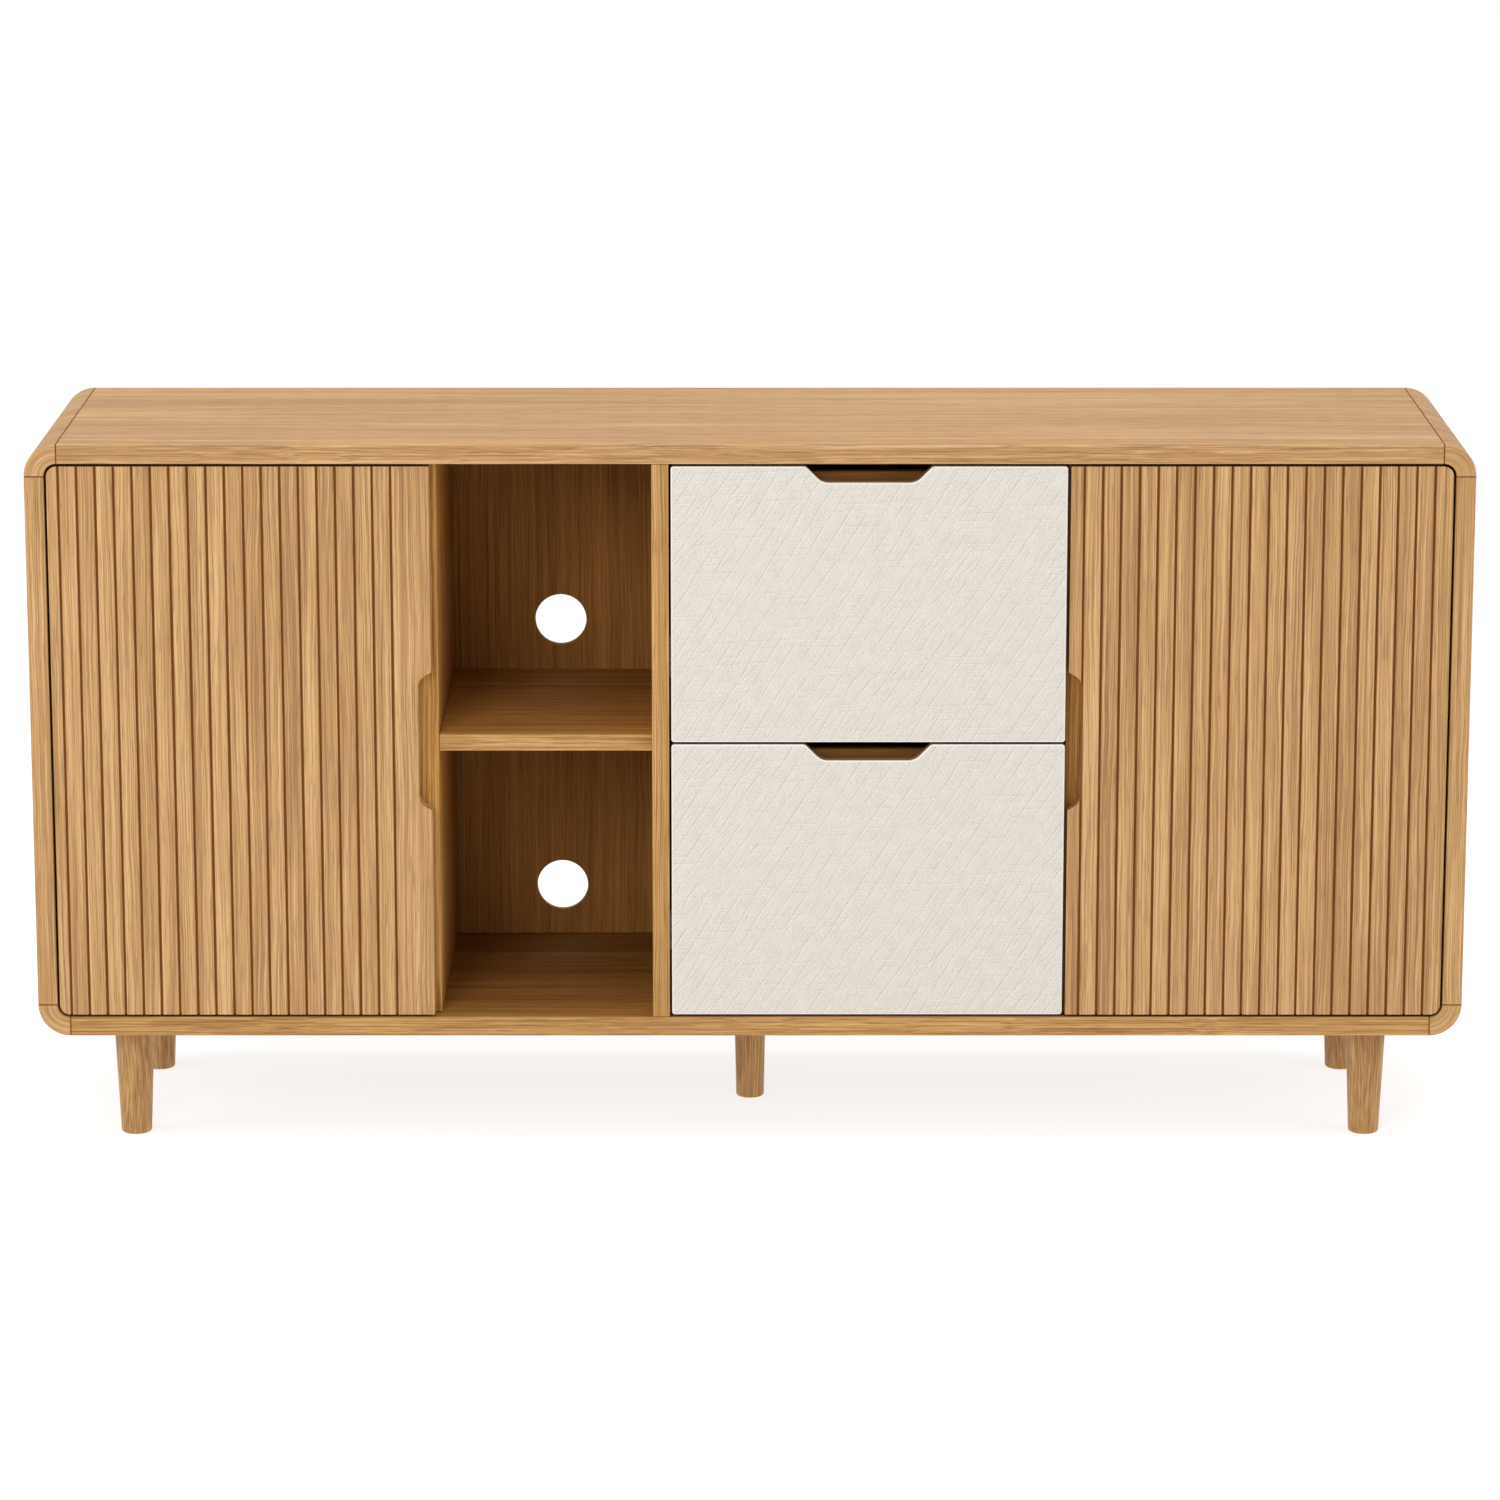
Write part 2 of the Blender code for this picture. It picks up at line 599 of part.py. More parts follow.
# ---------------------------------------------------------------- assembly
clear_scene()
frame_boards()
corner_blocks()
partitions()
shelves()
back_panel()
legs()
door("left", -DOOR_EDGE_X, 1, LEFT_FLUTES)
door("right", DOOR_EDGE_X, -1, RIGHT_FLUTES)
drawer("lower_drawer", FLOOR_Z + REVEAL)
drawer("upper_drawer", FLOOR_Z + REVEAL + DRAWER_HEIGHT + DRAWER_GAP)
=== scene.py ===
# %% [markdown]
# # A media cabinet in oak
# This lesson dresses a packed cabinet: a low oak case on five turned legs, with two fluted doors, an open
# bay and two drawers covered in pale leatherette. The imported model is the frame: it says where every piece
# sits and what it moves with. We import it first, and keep its box.

# %% Load the frame
import json
import math

import bmesh
import bpy
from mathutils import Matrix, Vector

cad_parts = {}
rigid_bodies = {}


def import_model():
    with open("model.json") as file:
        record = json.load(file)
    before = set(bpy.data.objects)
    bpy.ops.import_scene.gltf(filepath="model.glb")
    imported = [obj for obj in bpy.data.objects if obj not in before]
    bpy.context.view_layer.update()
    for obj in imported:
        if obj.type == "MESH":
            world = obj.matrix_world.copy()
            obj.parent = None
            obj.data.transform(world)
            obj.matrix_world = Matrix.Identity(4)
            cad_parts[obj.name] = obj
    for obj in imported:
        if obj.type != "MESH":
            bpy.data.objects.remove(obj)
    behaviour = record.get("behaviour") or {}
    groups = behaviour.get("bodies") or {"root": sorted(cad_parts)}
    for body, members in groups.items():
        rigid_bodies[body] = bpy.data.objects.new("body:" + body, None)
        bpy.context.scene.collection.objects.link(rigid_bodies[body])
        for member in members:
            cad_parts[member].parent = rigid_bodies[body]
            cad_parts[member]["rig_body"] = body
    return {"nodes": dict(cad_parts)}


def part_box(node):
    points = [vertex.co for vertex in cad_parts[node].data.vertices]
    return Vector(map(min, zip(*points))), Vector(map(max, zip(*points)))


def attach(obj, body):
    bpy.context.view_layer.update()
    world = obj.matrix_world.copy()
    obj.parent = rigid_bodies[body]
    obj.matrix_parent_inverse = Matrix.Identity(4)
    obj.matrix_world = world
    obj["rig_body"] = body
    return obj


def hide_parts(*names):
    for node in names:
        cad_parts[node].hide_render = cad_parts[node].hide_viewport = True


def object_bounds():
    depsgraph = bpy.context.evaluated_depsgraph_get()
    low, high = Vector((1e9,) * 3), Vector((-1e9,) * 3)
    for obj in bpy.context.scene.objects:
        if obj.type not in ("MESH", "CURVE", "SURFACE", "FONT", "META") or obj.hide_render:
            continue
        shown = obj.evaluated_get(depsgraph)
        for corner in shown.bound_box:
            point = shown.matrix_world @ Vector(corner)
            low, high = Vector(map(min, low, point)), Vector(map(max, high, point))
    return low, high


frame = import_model()
cad_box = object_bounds()

# %% [markdown]
# ## The sizes of the case
# The closed ring of top, sides and bottom sets most other sizes: the boards' thickness, the radius of the
# corners and the plane of the front. They are measured once, from the frame, so that nothing is fitted by
# hand and a new frame would bring its own sizes.

# %% Measure the case
front, rear = cad_box[0].y, cad_box[1].y
width_half = cad_box[1].x
ring_low, ring_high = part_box("bottom_board")[0].z, cad_box[1].z
top_low, top_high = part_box("top_board")
panel_low, panel_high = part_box("left_side_panel")
board_thick = ring_high - top_low.z
corner_r = round(width_half - top_high.x, 3)
print("boards:", round(board_thick * 1000, 1), "mm thick, corner radius", round(corner_r * 1000, 1), "mm")

# %% [markdown]
# ## Node maths that reads like maths
# A wood finish is mostly arithmetic: stretch a coordinate, add a little noise to it, mix two tones by the
# result. Blender does that with one node per step, which is slow to read. So a small class wraps an output
# socket and teaches it Python's operators; `1 - mask` then builds its own Math node. A bench holds one
# material's node tree, and one method there makes every other kind of node.


# %% A socket with arithmetic
class Wire:
    """One output socket of a node, which Python's operators can work on."""

    def __init__(self, bench, socket):
        self.bench = bench
        self.socket = socket

    def other(self, name):
        """Another output of the same node."""
        return Wire(self.bench, self.socket.node.outputs[name])

    def __add__(self, value):
        return self.bench.maths("ADD", self, value)

    def __sub__(self, value):
        return self.bench.maths("SUBTRACT", self, value)

    def __mul__(self, value):
        return self.bench.maths("MULTIPLY", self, value)

    def __truediv__(self, value):
        return self.bench.maths("DIVIDE", self, value)

    def __pow__(self, value):
        return self.bench.maths("POWER", self, value)

    def __rsub__(self, value):
        return self.bench.maths("SUBTRACT", value, self)

    __radd__ = __add__
    __rmul__ = __mul__


print("a wire can + - * / **")


# %% A bench for one material
class Bench:
    """The node tree of one material, and the ways to add to it."""

    def __init__(self, name):
        self.material = bpy.data.materials.new(name)
        self.material.use_nodes = True
        self.tree = self.material.node_tree
        self.tree.nodes.clear()

    def node(self, kind, settings=None, inputs=None, out=0):
        """Any node: its settings are set first, then its sockets get their values or links."""
        made = self.tree.nodes.new("ShaderNode" + kind)
        for name, value in (settings or {}).items():
            if name == "stops":
                self.set_stops(made.color_ramp.elements, value)
            else:
                setattr(made, name, value)
        for socket, value in (inputs or {}).items():
            if isinstance(value, Wire):
                self.tree.links.new(value.socket, made.inputs[socket])
            else:
                made.inputs[socket].default_value = value
        return Wire(self, made.outputs[out])

    @staticmethod
    def set_stops(elements, stops):
        """A ramp starts with two elements, and gets more until there is one for each stop."""
        while len(elements) < len(stops):
            elements.new(1.0)
        for element, (place, colour) in zip(elements, stops):
            element.position = place
            element.color = (*colour, 1.0)

    def maths(self, operation, first, second=0.0):
        """A Math node, which the operators use too."""
        return self.node("Math", {"operation": operation}, {0: first, 1: second})

    def place(self):
        """The point's own X, Y and Z on the piece, in metres, which move with it."""
        split = self.node("SeparateXYZ", None, {0: self.node("TexCoord", out="Object")})
        return split, split.other("Y"), split.other("Z")

    def noise(self, x, y, z, detail=2.0):
        """Soft noise, 0 to 1, that changes about once for every 1 of x, y or z."""
        spot = self.node("CombineXYZ", None, {"X": x, "Y": y, "Z": z})
        return self.node("TexNoise", None, {"Vector": spot, "Scale": 1.0, "Detail": detail})

    def chance(self, number):
        """One value, 0 to 1, for each number, with no link between neighbours."""
        return self.node("TexWhiteNoise", {"noise_dimensions": "1D"}, {"W": number})

    def ease(self, value, low, high):
        """0 up to low, 1 from high, and a smooth rise between."""
        settings = {"interpolation_type": "SMOOTHSTEP"}
        return self.node("MapRange", settings, {0: value, 1: low, 2: high})

    def mix(self, share, first, second):
        """The first colour where share is 0, the second where it is 1."""
        first, second = (c if isinstance(c, Wire) else (*c, 1.0) for c in (first, second))
        inputs = {0: share, 6: first, 7: second}
        return self.node("Mix", {"data_type": "RGBA"}, inputs, out=2)

    def tint(self, colour, by):
        """A colour through a tint, which may itself vary over the surface."""
        return self.node("VectorMath", {"operation": "MULTIPLY"}, {0: colour, 1: by})

    def relief(self, height, strength, distance):
        """A bump, distance being what a height of 1 stands for, in metres."""
        return self.node("Bump", None, {"Strength": strength, "Distance": distance, "Height": height})

    def shader(self, inputs):
        """The finished surface, wired to the material's output."""
        surface = self.node("BsdfPrincipled", None, inputs)
        output = self.tree.nodes.new("ShaderNodeOutputMaterial")
        self.tree.links.new(surface.socket, output.inputs["Surface"])
        return self.material


print("bench ready")

# %% [markdown]
# ## Oak
# Oak is drawn from the log outward. Growth rings are circles about the pith, stretched along the board into
# long lines; here a ring's tone is a noise read along the distance from the pith, so that good and lean
# years differ. Finer fibres and open pores run the same way, far longer than they are wide.
# The noise is read in the piece's own metres, so a 1 mm pore is 1 mm on every board, and the grain turns
# with the door. An image of wood would repeat and would stretch over the edges; this one is solid.


# %% The tones of oak
def through(tones, tint):
    """The same run of tones, each through one tint."""
    return tuple((place, tuple(c * t for c, t in zip(colour, tint))) for place, colour in tones)


FRAME_TONES = (
    (0.0, (0.292, 0.141, 0.041)),
    (0.42, (0.433, 0.229, 0.076)),
    (0.60, (0.499, 0.274, 0.097)),
    (1.0, (0.646, 0.402, 0.170)),
)
# painted shade: the inside's oak is darker than the frame's, standing in for the shade inside the case
INNER_SHADE_TONES = (
    (0.0, (0.200, 0.086, 0.018)),
    (0.42, (0.310, 0.136, 0.028)),
    (0.60, (0.355, 0.158, 0.034)),
    (1.0, (0.450, 0.215, 0.052)),
)
PORE_WAX = (0.16, 0.068, 0.020)  # dark wax left in the open pores
GROOVE_WAX_AND_SHADE = (0.215, 0.066, 0.006)  # and in the grooves and joints; in the grooves it is painted shade as well
ROSY = (1.04, 0.98, 1.05)  # some years grow pinker
print("tones:", len(FRAME_TONES), "for the frame,", len(INNER_SHADE_TONES), "for the inside")

# %% Rings, fibres and pores
PITH_DEPTH = 0.35  # how far below the board the heart of the log lay
SWAY = (4, 2.4, 0.014)  # slow wander: changes per metre across and along, and how far it pushes the grain
RIPPLE = (22, 13, 0.004)  # quick wander, in the same way
RINGS = 330  # years per metre from the heart outward
RING_STRENGTH = 0.9
GRAIN = {  # changes per metre across and along the board, fineness, and strength in the tone
    "broad": (18, 1.3, 2.0, 0.35),
    "bands": (80, 1.8, 2.0, 0.7),
    "streaks": (400, 2.6, 2.5, 1.2),
    "fibres": (900, 6, 2.0, 2.0),
}
OPEN_PORES = (0.57, 0.68)  # the higher these are, the fewer pores are open
ROSY_YEARS = (0.45, 0.62)


def drawn_out(bench, u, v, along, per_across, per_along, detail=2.0):
    """Noise about 0 that changes quickly across the grain and slowly along it."""
    return bench.noise(u * per_across, v * per_across, along * per_along, detail) - 0.5


def oak_layers(bench, u, v, along):
    """The tone of oak, about 0 to 1, with its fibres and pores, at a point across and along the grain."""
    sway = drawn_out(bench, u, v, along, *SWAY[:2])
    ripple = drawn_out(bench, u, v, along, *RIPPLE[:2], detail=1.0)
    across = u + sway * SWAY[2] + ripple * RIPPLE[2]
    pith = (across * across + (v + PITH_DEPTH) * (v + PITH_DEPTH)) ** 0.5
    tone = (bench.noise(pith * RINGS, 0.0, along * 0.8) - 0.5) * RING_STRENGTH
    layers = {}
    for layer, (per_across, per_along, detail, strength) in GRAIN.items():
        layers[layer] = drawn_out(bench, across, v, along, per_across, per_along, detail)
        tone = tone + layers[layer] * strength
    pores = bench.noise(across * 1000, v * 1000, along * 24, detail=1.0)
    rosy = bench.noise(across * 90 + 7, v * 90, along * 2)
    layers["tone"] = tone + 0.5
    layers["pores"] = bench.ease(pores, *OPEN_PORES)
    layers["rosy"] = bench.ease(rosy, *ROSY_YEARS)
    return layers


print("grain layers:", ", ".join(GRAIN))

# %% The surface of oak
SATIN, MATT = 0.5, 0.15  # how strongly lacquer and bare oil mirror
ROUGHNESS = {SATIN: 0.46, MATT: 0.72}
WAX_DULLS = 0.45  # roughness that wax adds
ROSY_SHARE, PORE_SHARE = 0.45, 0.42  # how much of each shows in the colour
OAK_RELIEF = (0.3, 0.00025)


def oak_surface(bench, layers, tones=FRAME_TONES, wax_and_shade=None, sheen=SATIN, tint=None):
    """Colour, sheen and relief of oak. The mask after the tones, 0 to 1, is where waxing darkens the wood,
    with painted shade too in the grooves; tint deepens the colour.
    """
    colour = bench.node("ValToRGB", {"stops": tones}, {"Fac": layers["tone"]})
    colour = bench.mix(layers["rosy"] * ROSY_SHARE, colour, bench.tint(colour, ROSY))
    colour = bench.mix(layers["pores"] * PORE_SHARE, colour, PORE_WAX)
    roughness = layers["fibres"] * 0.25 + layers["pores"] * 0.12 + ROUGHNESS[sheen]
    if wax_and_shade is not None:
        colour = bench.mix(wax_and_shade, colour, GROOVE_WAX_AND_SHADE)
        roughness = roughness + wax_and_shade * WAX_DULLS
    if tint is not None:
        colour = bench.tint(colour, tint)
    relief = bench.relief(layers["fibres"] * 0.6 - layers["pores"], *OAK_RELIEF)
    inputs = {"Base Color": colour, "Roughness": roughness, "Normal": relief, "Specular IOR Level": sheen}
    return bench.shader(inputs)


print("roughness of satin and matt oak:", *ROUGHNESS.values())

# %% [markdown]
# ## Oak for straight boards
# A board's grain runs along its length, so one function takes the axis and lines the layers up with it. Two
# more things are added to the boards. Where two boards are glued end to end, a thin dark line shows at the
# joint. And inside the cabinet the wood is oiled instead of lacquered, which gives it another hue, and a
# painted shade darkens it the further in it lies, so the tint is eased from the front edge to the rear one.

# %% Oak along one axis
LIP = (0.0015, 0.006)  # how far behind its front edge an oiled board's lip fades out
PLAIN = (1, 1, 1)
GLUE = (0.0004, 0.0011)  # how far from a joint its dark line starts and ends fading
GLUE_STRENGTH = 0.8


def glue_line(bench, value, plane):
    """The dark line of a joint, strongest on its plane and fading out over the fine bevel beside it."""
    return 1 - bench.ease(bench.maths("ABSOLUTE", value - plane), *GLUE)


def oak(name, grain, tones=FRAME_TONES, sheen=SATIN, oil_and_depth_shade=None, joints=None, lip=PLAIN):
    """Oak for boards whose grain runs along one axis.

    The oil-and-shade argument holds the front edge's y and two tints: the oil's hue at the front edge, and
    a painted shade at the rear. lip is the tint of the edge itself.
    joints holds the two ends, along the grain, that are glued into the frame.
    """
    bench = Bench(name)
    x, y, z = bench.place()
    u, v, along = {"x": (y, z, x), "y": (x, z, y), "z": (x, y, z)}[grain]
    tint = None
    if oil_and_depth_shade:
        edge_y, (near, rear_shade) = oil_and_depth_shade
        # painted shade: the colour is eased darker from the front edge toward the rear, where less light
        # reaches
        tint = bench.mix(bench.ease(y, edge_y, -edge_y), near, rear_shade)
        tint = bench.mix(bench.ease(y, edge_y + LIP[0], edge_y + LIP[1]), lip, tint)
    wax_and_shade = None
    if joints:
        wax_and_shade = (glue_line(bench, along, joints[0]) + glue_line(bench, along, joints[1])) * GLUE_STRENGTH
    return oak_surface(bench, oak_layers(bench, u, v, along), tones, wax_and_shade, sheen, tint)


print("oak ready for boards along x, y or z")

# %% [markdown]
# ## Making a piece
# Each visible piece is built a little finer than the frame's solid: the same place and size, but with its
# edges eased by sandpaper. Smooth shading alone would smear light over the flats, so a weighted-normal
# modifier keeps the large faces flat and lets only the eased edges turn.

# %% From a mesh to a piece
CREASE_ANGLE = 50  # sharper turns than this, in degrees, stay sharp


def object_from(name, bm):
    """A bare object, for a cutter or for a piece that isn't dressed yet."""
    mesh = bpy.data.meshes.new(name)
    bmesh.ops.recalc_face_normals(bm, faces=bm.faces)
    bm.to_mesh(mesh)
    bm.free()
    obj = bpy.data.objects.new(name, mesh)
    bpy.context.scene.collection.objects.link(obj)
    return obj


def dress(obj, material, node):
    """Gives an object its finish, and lets it stand for a node of the frame and move with its body."""
    mesh = obj.data
    mesh.shade_smooth()
    mesh.set_sharp_from_angle(angle=math.radians(CREASE_ANGLE))
    mesh.materials.clear()
    mesh.materials.append(material)
    obj.modifiers.new("flat faces stay flat", "WEIGHTED_NORMAL").keep_sharp = True
    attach(obj, frame["nodes"][node]["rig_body"])
    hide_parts(node)
    return obj


def piece(name, bm, material, node):
    """A new piece, from its mesh to its place in the cabinet."""
    return dress(object_from(name, bm), material, node)


print("pieces can be made and dressed")


# %% Shapes that many pieces share
def loft(rings):
    """A closed body through rings that have the same number of points."""
    bm = bmesh.new()
    rows = [[bm.verts.new(point) for point in ring] for ring in rings]
    count = len(rows[0])
    for low, high in zip(rows, rows[1:]):
        for i in range(count):
            j = (i + 1) % count
            bm.faces.new((low[i], low[j], high[j], high[i]))
    bm.faces.new(list(reversed(rows[0])))
    bm.faces.new(rows[-1])
    return bm


def planed_board(node, material, radius=0.001):
    """A plain board with all its edges eased."""
    low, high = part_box(node)
    bm = bmesh.new()
    bmesh.ops.create_cube(bm, size=1.0)
    for vert in bm.verts:
        vert.co = Vector(high[i] if vert.co[i] > 0 else low[i] for i in range(3))
    bmesh.ops.bevel(bm, geom=bm.edges[:], offset=radius, segments=3, profile=0.5, affect="EDGES")
    return piece(f"{node}_board", bm, material, node)


def quarter_round(radius, steps=6):
    """A rounded edge from face to side, as (depth below the face, distance in from the side)."""
    angles = [math.radians(90 * k / steps) for k in range(steps + 1)]
    return [(radius * (1 - math.cos(a)), radius * (1 - math.sin(a))) for a in angles]


print("a 1 mm quarter round has", len(quarter_round(0.001)), "points")

# %% [markdown]
# ## The outer frame
# Four straight boards and four curved corner blocks make a closed ring around the case. Each is glued to its
# neighbours end to end, so all eight have the same cut end, and the boards meet the blocks at a fine bevel
# that shows as a line. The cut end is therefore drawn once, with its outer edges rounded more than its inner
# ones, and carried along each piece, a hair smaller at both ends. A plain bevelled box would round the glued
# ends too, and the ring would look like loose blocks.

# %% The frame's cut end
EDGE, INNER_EDGE = 0.0028, 0.0012  # radii of the outer and inner edges
JOINT = 0.0004  # fine bevel on both sides of each glued joint
SECTION_CORNERS = (  # outer or inner face, front or rear, radius, and where its quarter turn starts
    (1, -1, EDGE, -90),
    (1, 1, EDGE, 0),
    (-1, 1, INNER_EDGE, 90),
    (-1, -1, INNER_EDGE, 180),
)


def frame_section(inset=0.0, steps=6):
    """The frame's cut end, as (distance out from the outer face, y), with rounded corners."""
    points = []
    for out, back, radius, start in SECTION_CORNERS:
        u = -radius if out > 0 else radius - board_thick
        y = front + radius if back < 0 else rear - radius
        for k in range(steps + 1):
            angle = math.radians(start + 90 * k / steps)
            reach = radius - inset
            points.append((u + reach * math.cos(angle), y + reach * math.sin(angle)))
    return points


def along_joint(start, end):
    """Stations along a piece between two glued joints, each with its section."""
    step = math.copysign(JOINT, end - start)
    small, full = frame_section(JOINT), frame_section()
    return [(start, small), (start + step, full), (end - step, full), (end, small)]


print("the cut end has", len(frame_section()), "points")

# %% Top, bottom and sides
BOTTOM_OIL_AND_SHADE = ((0.82, 0.72, 0.45), (0.54, 0.46, 0.24))  # painted shade, deeper for the lower bay, over the oil's hue: near the front and at the rear
ends = (top_low.x, top_high.x)
top_oak = oak("top_board_oak", "x", joints=ends)
bottom_oak = oak("bottom_board_oak", "x", sheen=MATT, oil_and_depth_shade=(front, BOTTOM_OIL_AND_SHADE), joints=ends)
side_oak = oak("side_panel_oak", "z", joints=(panel_low.z, panel_high.z))

for node, face, out, material in (
    ("top_board", ring_high, 1, top_oak),
    ("bottom_board", ring_low, -1, bottom_oak),
):
    low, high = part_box(node)
    stations = along_joint(low.x, high.x)
    rings = [[(x, y, face + out * u) for u, y in section] for x, section in stations]
    piece(f"{node}_oak", loft(rings), material, node)
for node, side in (("left_side_panel", -1), ("right_side_panel", 1)):
    low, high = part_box(node)
    stations = along_joint(low.z, high.z)
    rings = [[(side * (width_half + u), y, z) for u, y in section] for z, section in stations]
    piece(f"{node}_oak", loft(rings), side_oak, node)
print("top, bottom and two sides made")

# %% [markdown]
# ## Corner blocks
# The corners are bent or sawn from thick oak, and their grain follows the curve. So the same cut end is
# carried round a quarter circle, and the finish reads its grain in the same way: the distance from the
# corner's centre goes across the rings, and the distance round the arc runs along them. Straight grain would
# cut through the curve and give the block away as a sawn square.

# %% Oak round a corner
CORNER_STEPS = 24


def corner_centre(side, level):
    """The x and z that a corner turns about."""
    return side * (width_half - corner_r), ring_high - corner_r if level > 0 else ring_low + corner_r


def curved_oak(name, side, level):
    """Oak whose grain follows the corner: across is the distance from the corner's centre."""
    bench = Bench(name)
    x, y, z = bench.place()
    centre_x, centre_z = corner_centre(side, level)
    dx, dz = x - centre_x, z - centre_z
    radius = (dx * dx + dz * dz) ** 0.5
    angle = bench.maths("ARCTAN2", dz, dx)
    wax_and_shade = (glue_line(bench, dx, 0.0) + glue_line(bench, dz, 0.0)) * GLUE_STRENGTH
    return oak_surface(bench, oak_layers(bench, radius, y, angle * corner_r), wax_and_shade=wax_and_shade)


print("the upper right corner turns about", corner_centre(1, 1))


# %% Corner blocks
def corner_rings(side, level):
    """The frame's cut end, carried round a quarter circle from the side board to the top or bottom one."""
    centre_x, centre_z = corner_centre(side, level)
    arc_length = math.pi / 2 * corner_r
    first, second, third, last = along_joint(0.0, arc_length)
    between = [(arc_length * k / CORNER_STEPS, second[1]) for k in range(1, CORNER_STEPS)]
    rings = []
    for arc, section in (first, second, *between, third, last):
        out_x, out_z = side * math.cos(arc / corner_r), level * math.sin(arc / corner_r)
        reaches = [(corner_r + u, y) for u, y in section]
        rings.append([(centre_x + reach * out_x, y, centre_z + reach * out_z) for reach, y in reaches])
    return rings


CORNERS = {"upper_right": (1, 1), "upper_left": (-1, 1), "lower_left": (-1, -1), "lower_right": (1, -1)}
for corner, (side, level) in CORNERS.items():
    node = f"{corner}_corner_block"
    finish = curved_oak(f"{corner}_oak", side, level)
    piece(f"{node}_oak", loft(corner_rings(side, level)), finish, node)
print("corner blocks:", len(CORNERS))

# %% [markdown]
# ## Partitions, shelves and back
# Three partitions divide the case into two closed cabinets, the open bay and the drawers. They and the
# shelves are plain boards, so a box with eased edges is all that they need, and the finish does the rest:
# lacquered on the front edge, oiled and darkened by painted shade further in. The outer two partitions stop
# behind the doors, so even their edges are oiled, and a painted shade darkens them there. The back panel
# stays the frame's own solid, because its two cable holes are already right, and only gets a darker, matt
# oak, whose darkness is painted shade for the inside of the case.

# %% Inner boards
OIL_AND_DEPTH_SHADE = ((1.08, 0.95, 0.61), (0.78, 0.68, 0.38))  # the oil's hue near the front, and painted shade darkening it at the rear
PAINTED_SHADE_LIP = (0.94, 0.85, 0.62)  # painted shade on the outer partitions' edges, behind the doors
partition_y, shelf_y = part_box("left_partition")[0].y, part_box("bay_shelf")[0].y
outer_oak = oak("outer_partition_oak", "z", sheen=MATT, oil_and_depth_shade=(partition_y, OIL_AND_DEPTH_SHADE), lip=PAINTED_SHADE_LIP)
middle_oak = oak("middle_partition_oak", "z", sheen=MATT, oil_and_depth_shade=(front, OIL_AND_DEPTH_SHADE))
shelf_oak = oak("shelf_oak", "x", sheen=MATT, oil_and_depth_shade=(shelf_y, OIL_AND_DEPTH_SHADE))
shaded_inner_oak_upright = oak("shaded_inner_oak_upright", "z", INNER_SHADE_TONES, MATT)
shaded_inner_oak_long = oak("shaded_inner_oak_long", "x", INNER_SHADE_TONES, MATT)

for node in ("left_partition", "right_partition"):
    planed_board(node, outer_oak)
planed_board("middle_partition", middle_oak)
planed_board("bay_shelf", shelf_oak)
for node in ("left_cabinet_shelf", "right_cabinet_shelf"):
    planed_board(node, shaded_inner_oak_long)
frame["nodes"]["back_panel"].data.materials[0] = shaded_inner_oak_upright
print("inner boards made")

# %% [markdown]
# ## Outlines with a finger notch
# Doors and drawer fronts have no handles: a notch in the edge takes the fingers. Both are flat panels whose
# outline carries that notch, so the outline is drawn first and then given its thickness. The notch comes
# from its own few sizes: its width at the edge, the flat at full depth, the depth, the slope of its ramps
# and the round shoulder where it leaves the edge.


# %% Outline helpers
def notch(width, flat, depth, slope, shoulder=0.0, steps=10):
    """A finger notch, as (distance along the edge, depth), from one end to the other."""
    turn = math.radians(slope)
    ramp = (width - flat) / 2
    floor_r = (ramp * math.sin(turn) - depth * math.cos(turn)) / (1 - math.cos(turn)) - shoulder
    angles = [turn * k / steps for k in range(steps + 1)]
    side = [(-width / 2, 0.0)]
    if shoulder:
        side = [(-width / 2 + shoulder * math.sin(a), shoulder * (1 - math.cos(a))) for a in angles]
    for a in reversed(angles):
        side.append((-flat / 2 - floor_r * math.sin(a), depth - floor_r * (1 - math.cos(a))))
    return side + [(-along, d) for along, d in reversed(side)]


def arc(centre, radius, start, end, steps):
    """Points round a centre from one angle to another, in degrees."""
    angles = [math.radians(start + (end - start) * k / steps) for k in range(steps + 1)]
    return [(centre[0] + radius * math.cos(a), centre[1] + radius * math.sin(a)) for a in angles]


def rounded(low_u, low_v, high_u, high_v, radii):
    """The four corner arcs of a rectangle, anticlockwise from the lower left."""
    corners = ((low_u, low_v, 1, 1), (high_u, low_v, -1, 1), (high_u, high_v, -1, -1), (low_u, high_v, 1, -1))
    starts = (180, 270, 360, 450)
    arcs = []
    for (u, v, in_u, in_v), radius, start in zip(corners, radii, starts):
        arcs.append(arc((u + in_u * radius, v + in_v * radius), radius, start, start + 90, 8))
    return arcs


print("a 10 mm deep notch has", len(notch(0.1, 0.07, 0.01, 60)), "points")

# %% Moving an outline inward, and cutting
SHARPEST = 0.5  # a point at a sharp corner moves in by no more than twice the distance


def drawn_in(points, distance):
    """An anticlockwise outline moved inward by the same distance all round."""
    moved = []
    for i, here in enumerate(points):
        before = (Vector(here) - Vector(points[i - 1])).normalized()
        after = (Vector(points[(i + 1) % len(points)]) - Vector(here)).normalized()
        inward = Vector((-before.y - after.y, before.x + after.x)).normalized()
        reach = distance / max(SHARPEST, Vector((-before.y, before.x)).dot(inward))
        moved.append((here[0] + inward.x * reach, here[1] + inward.y * reach))
    return moved


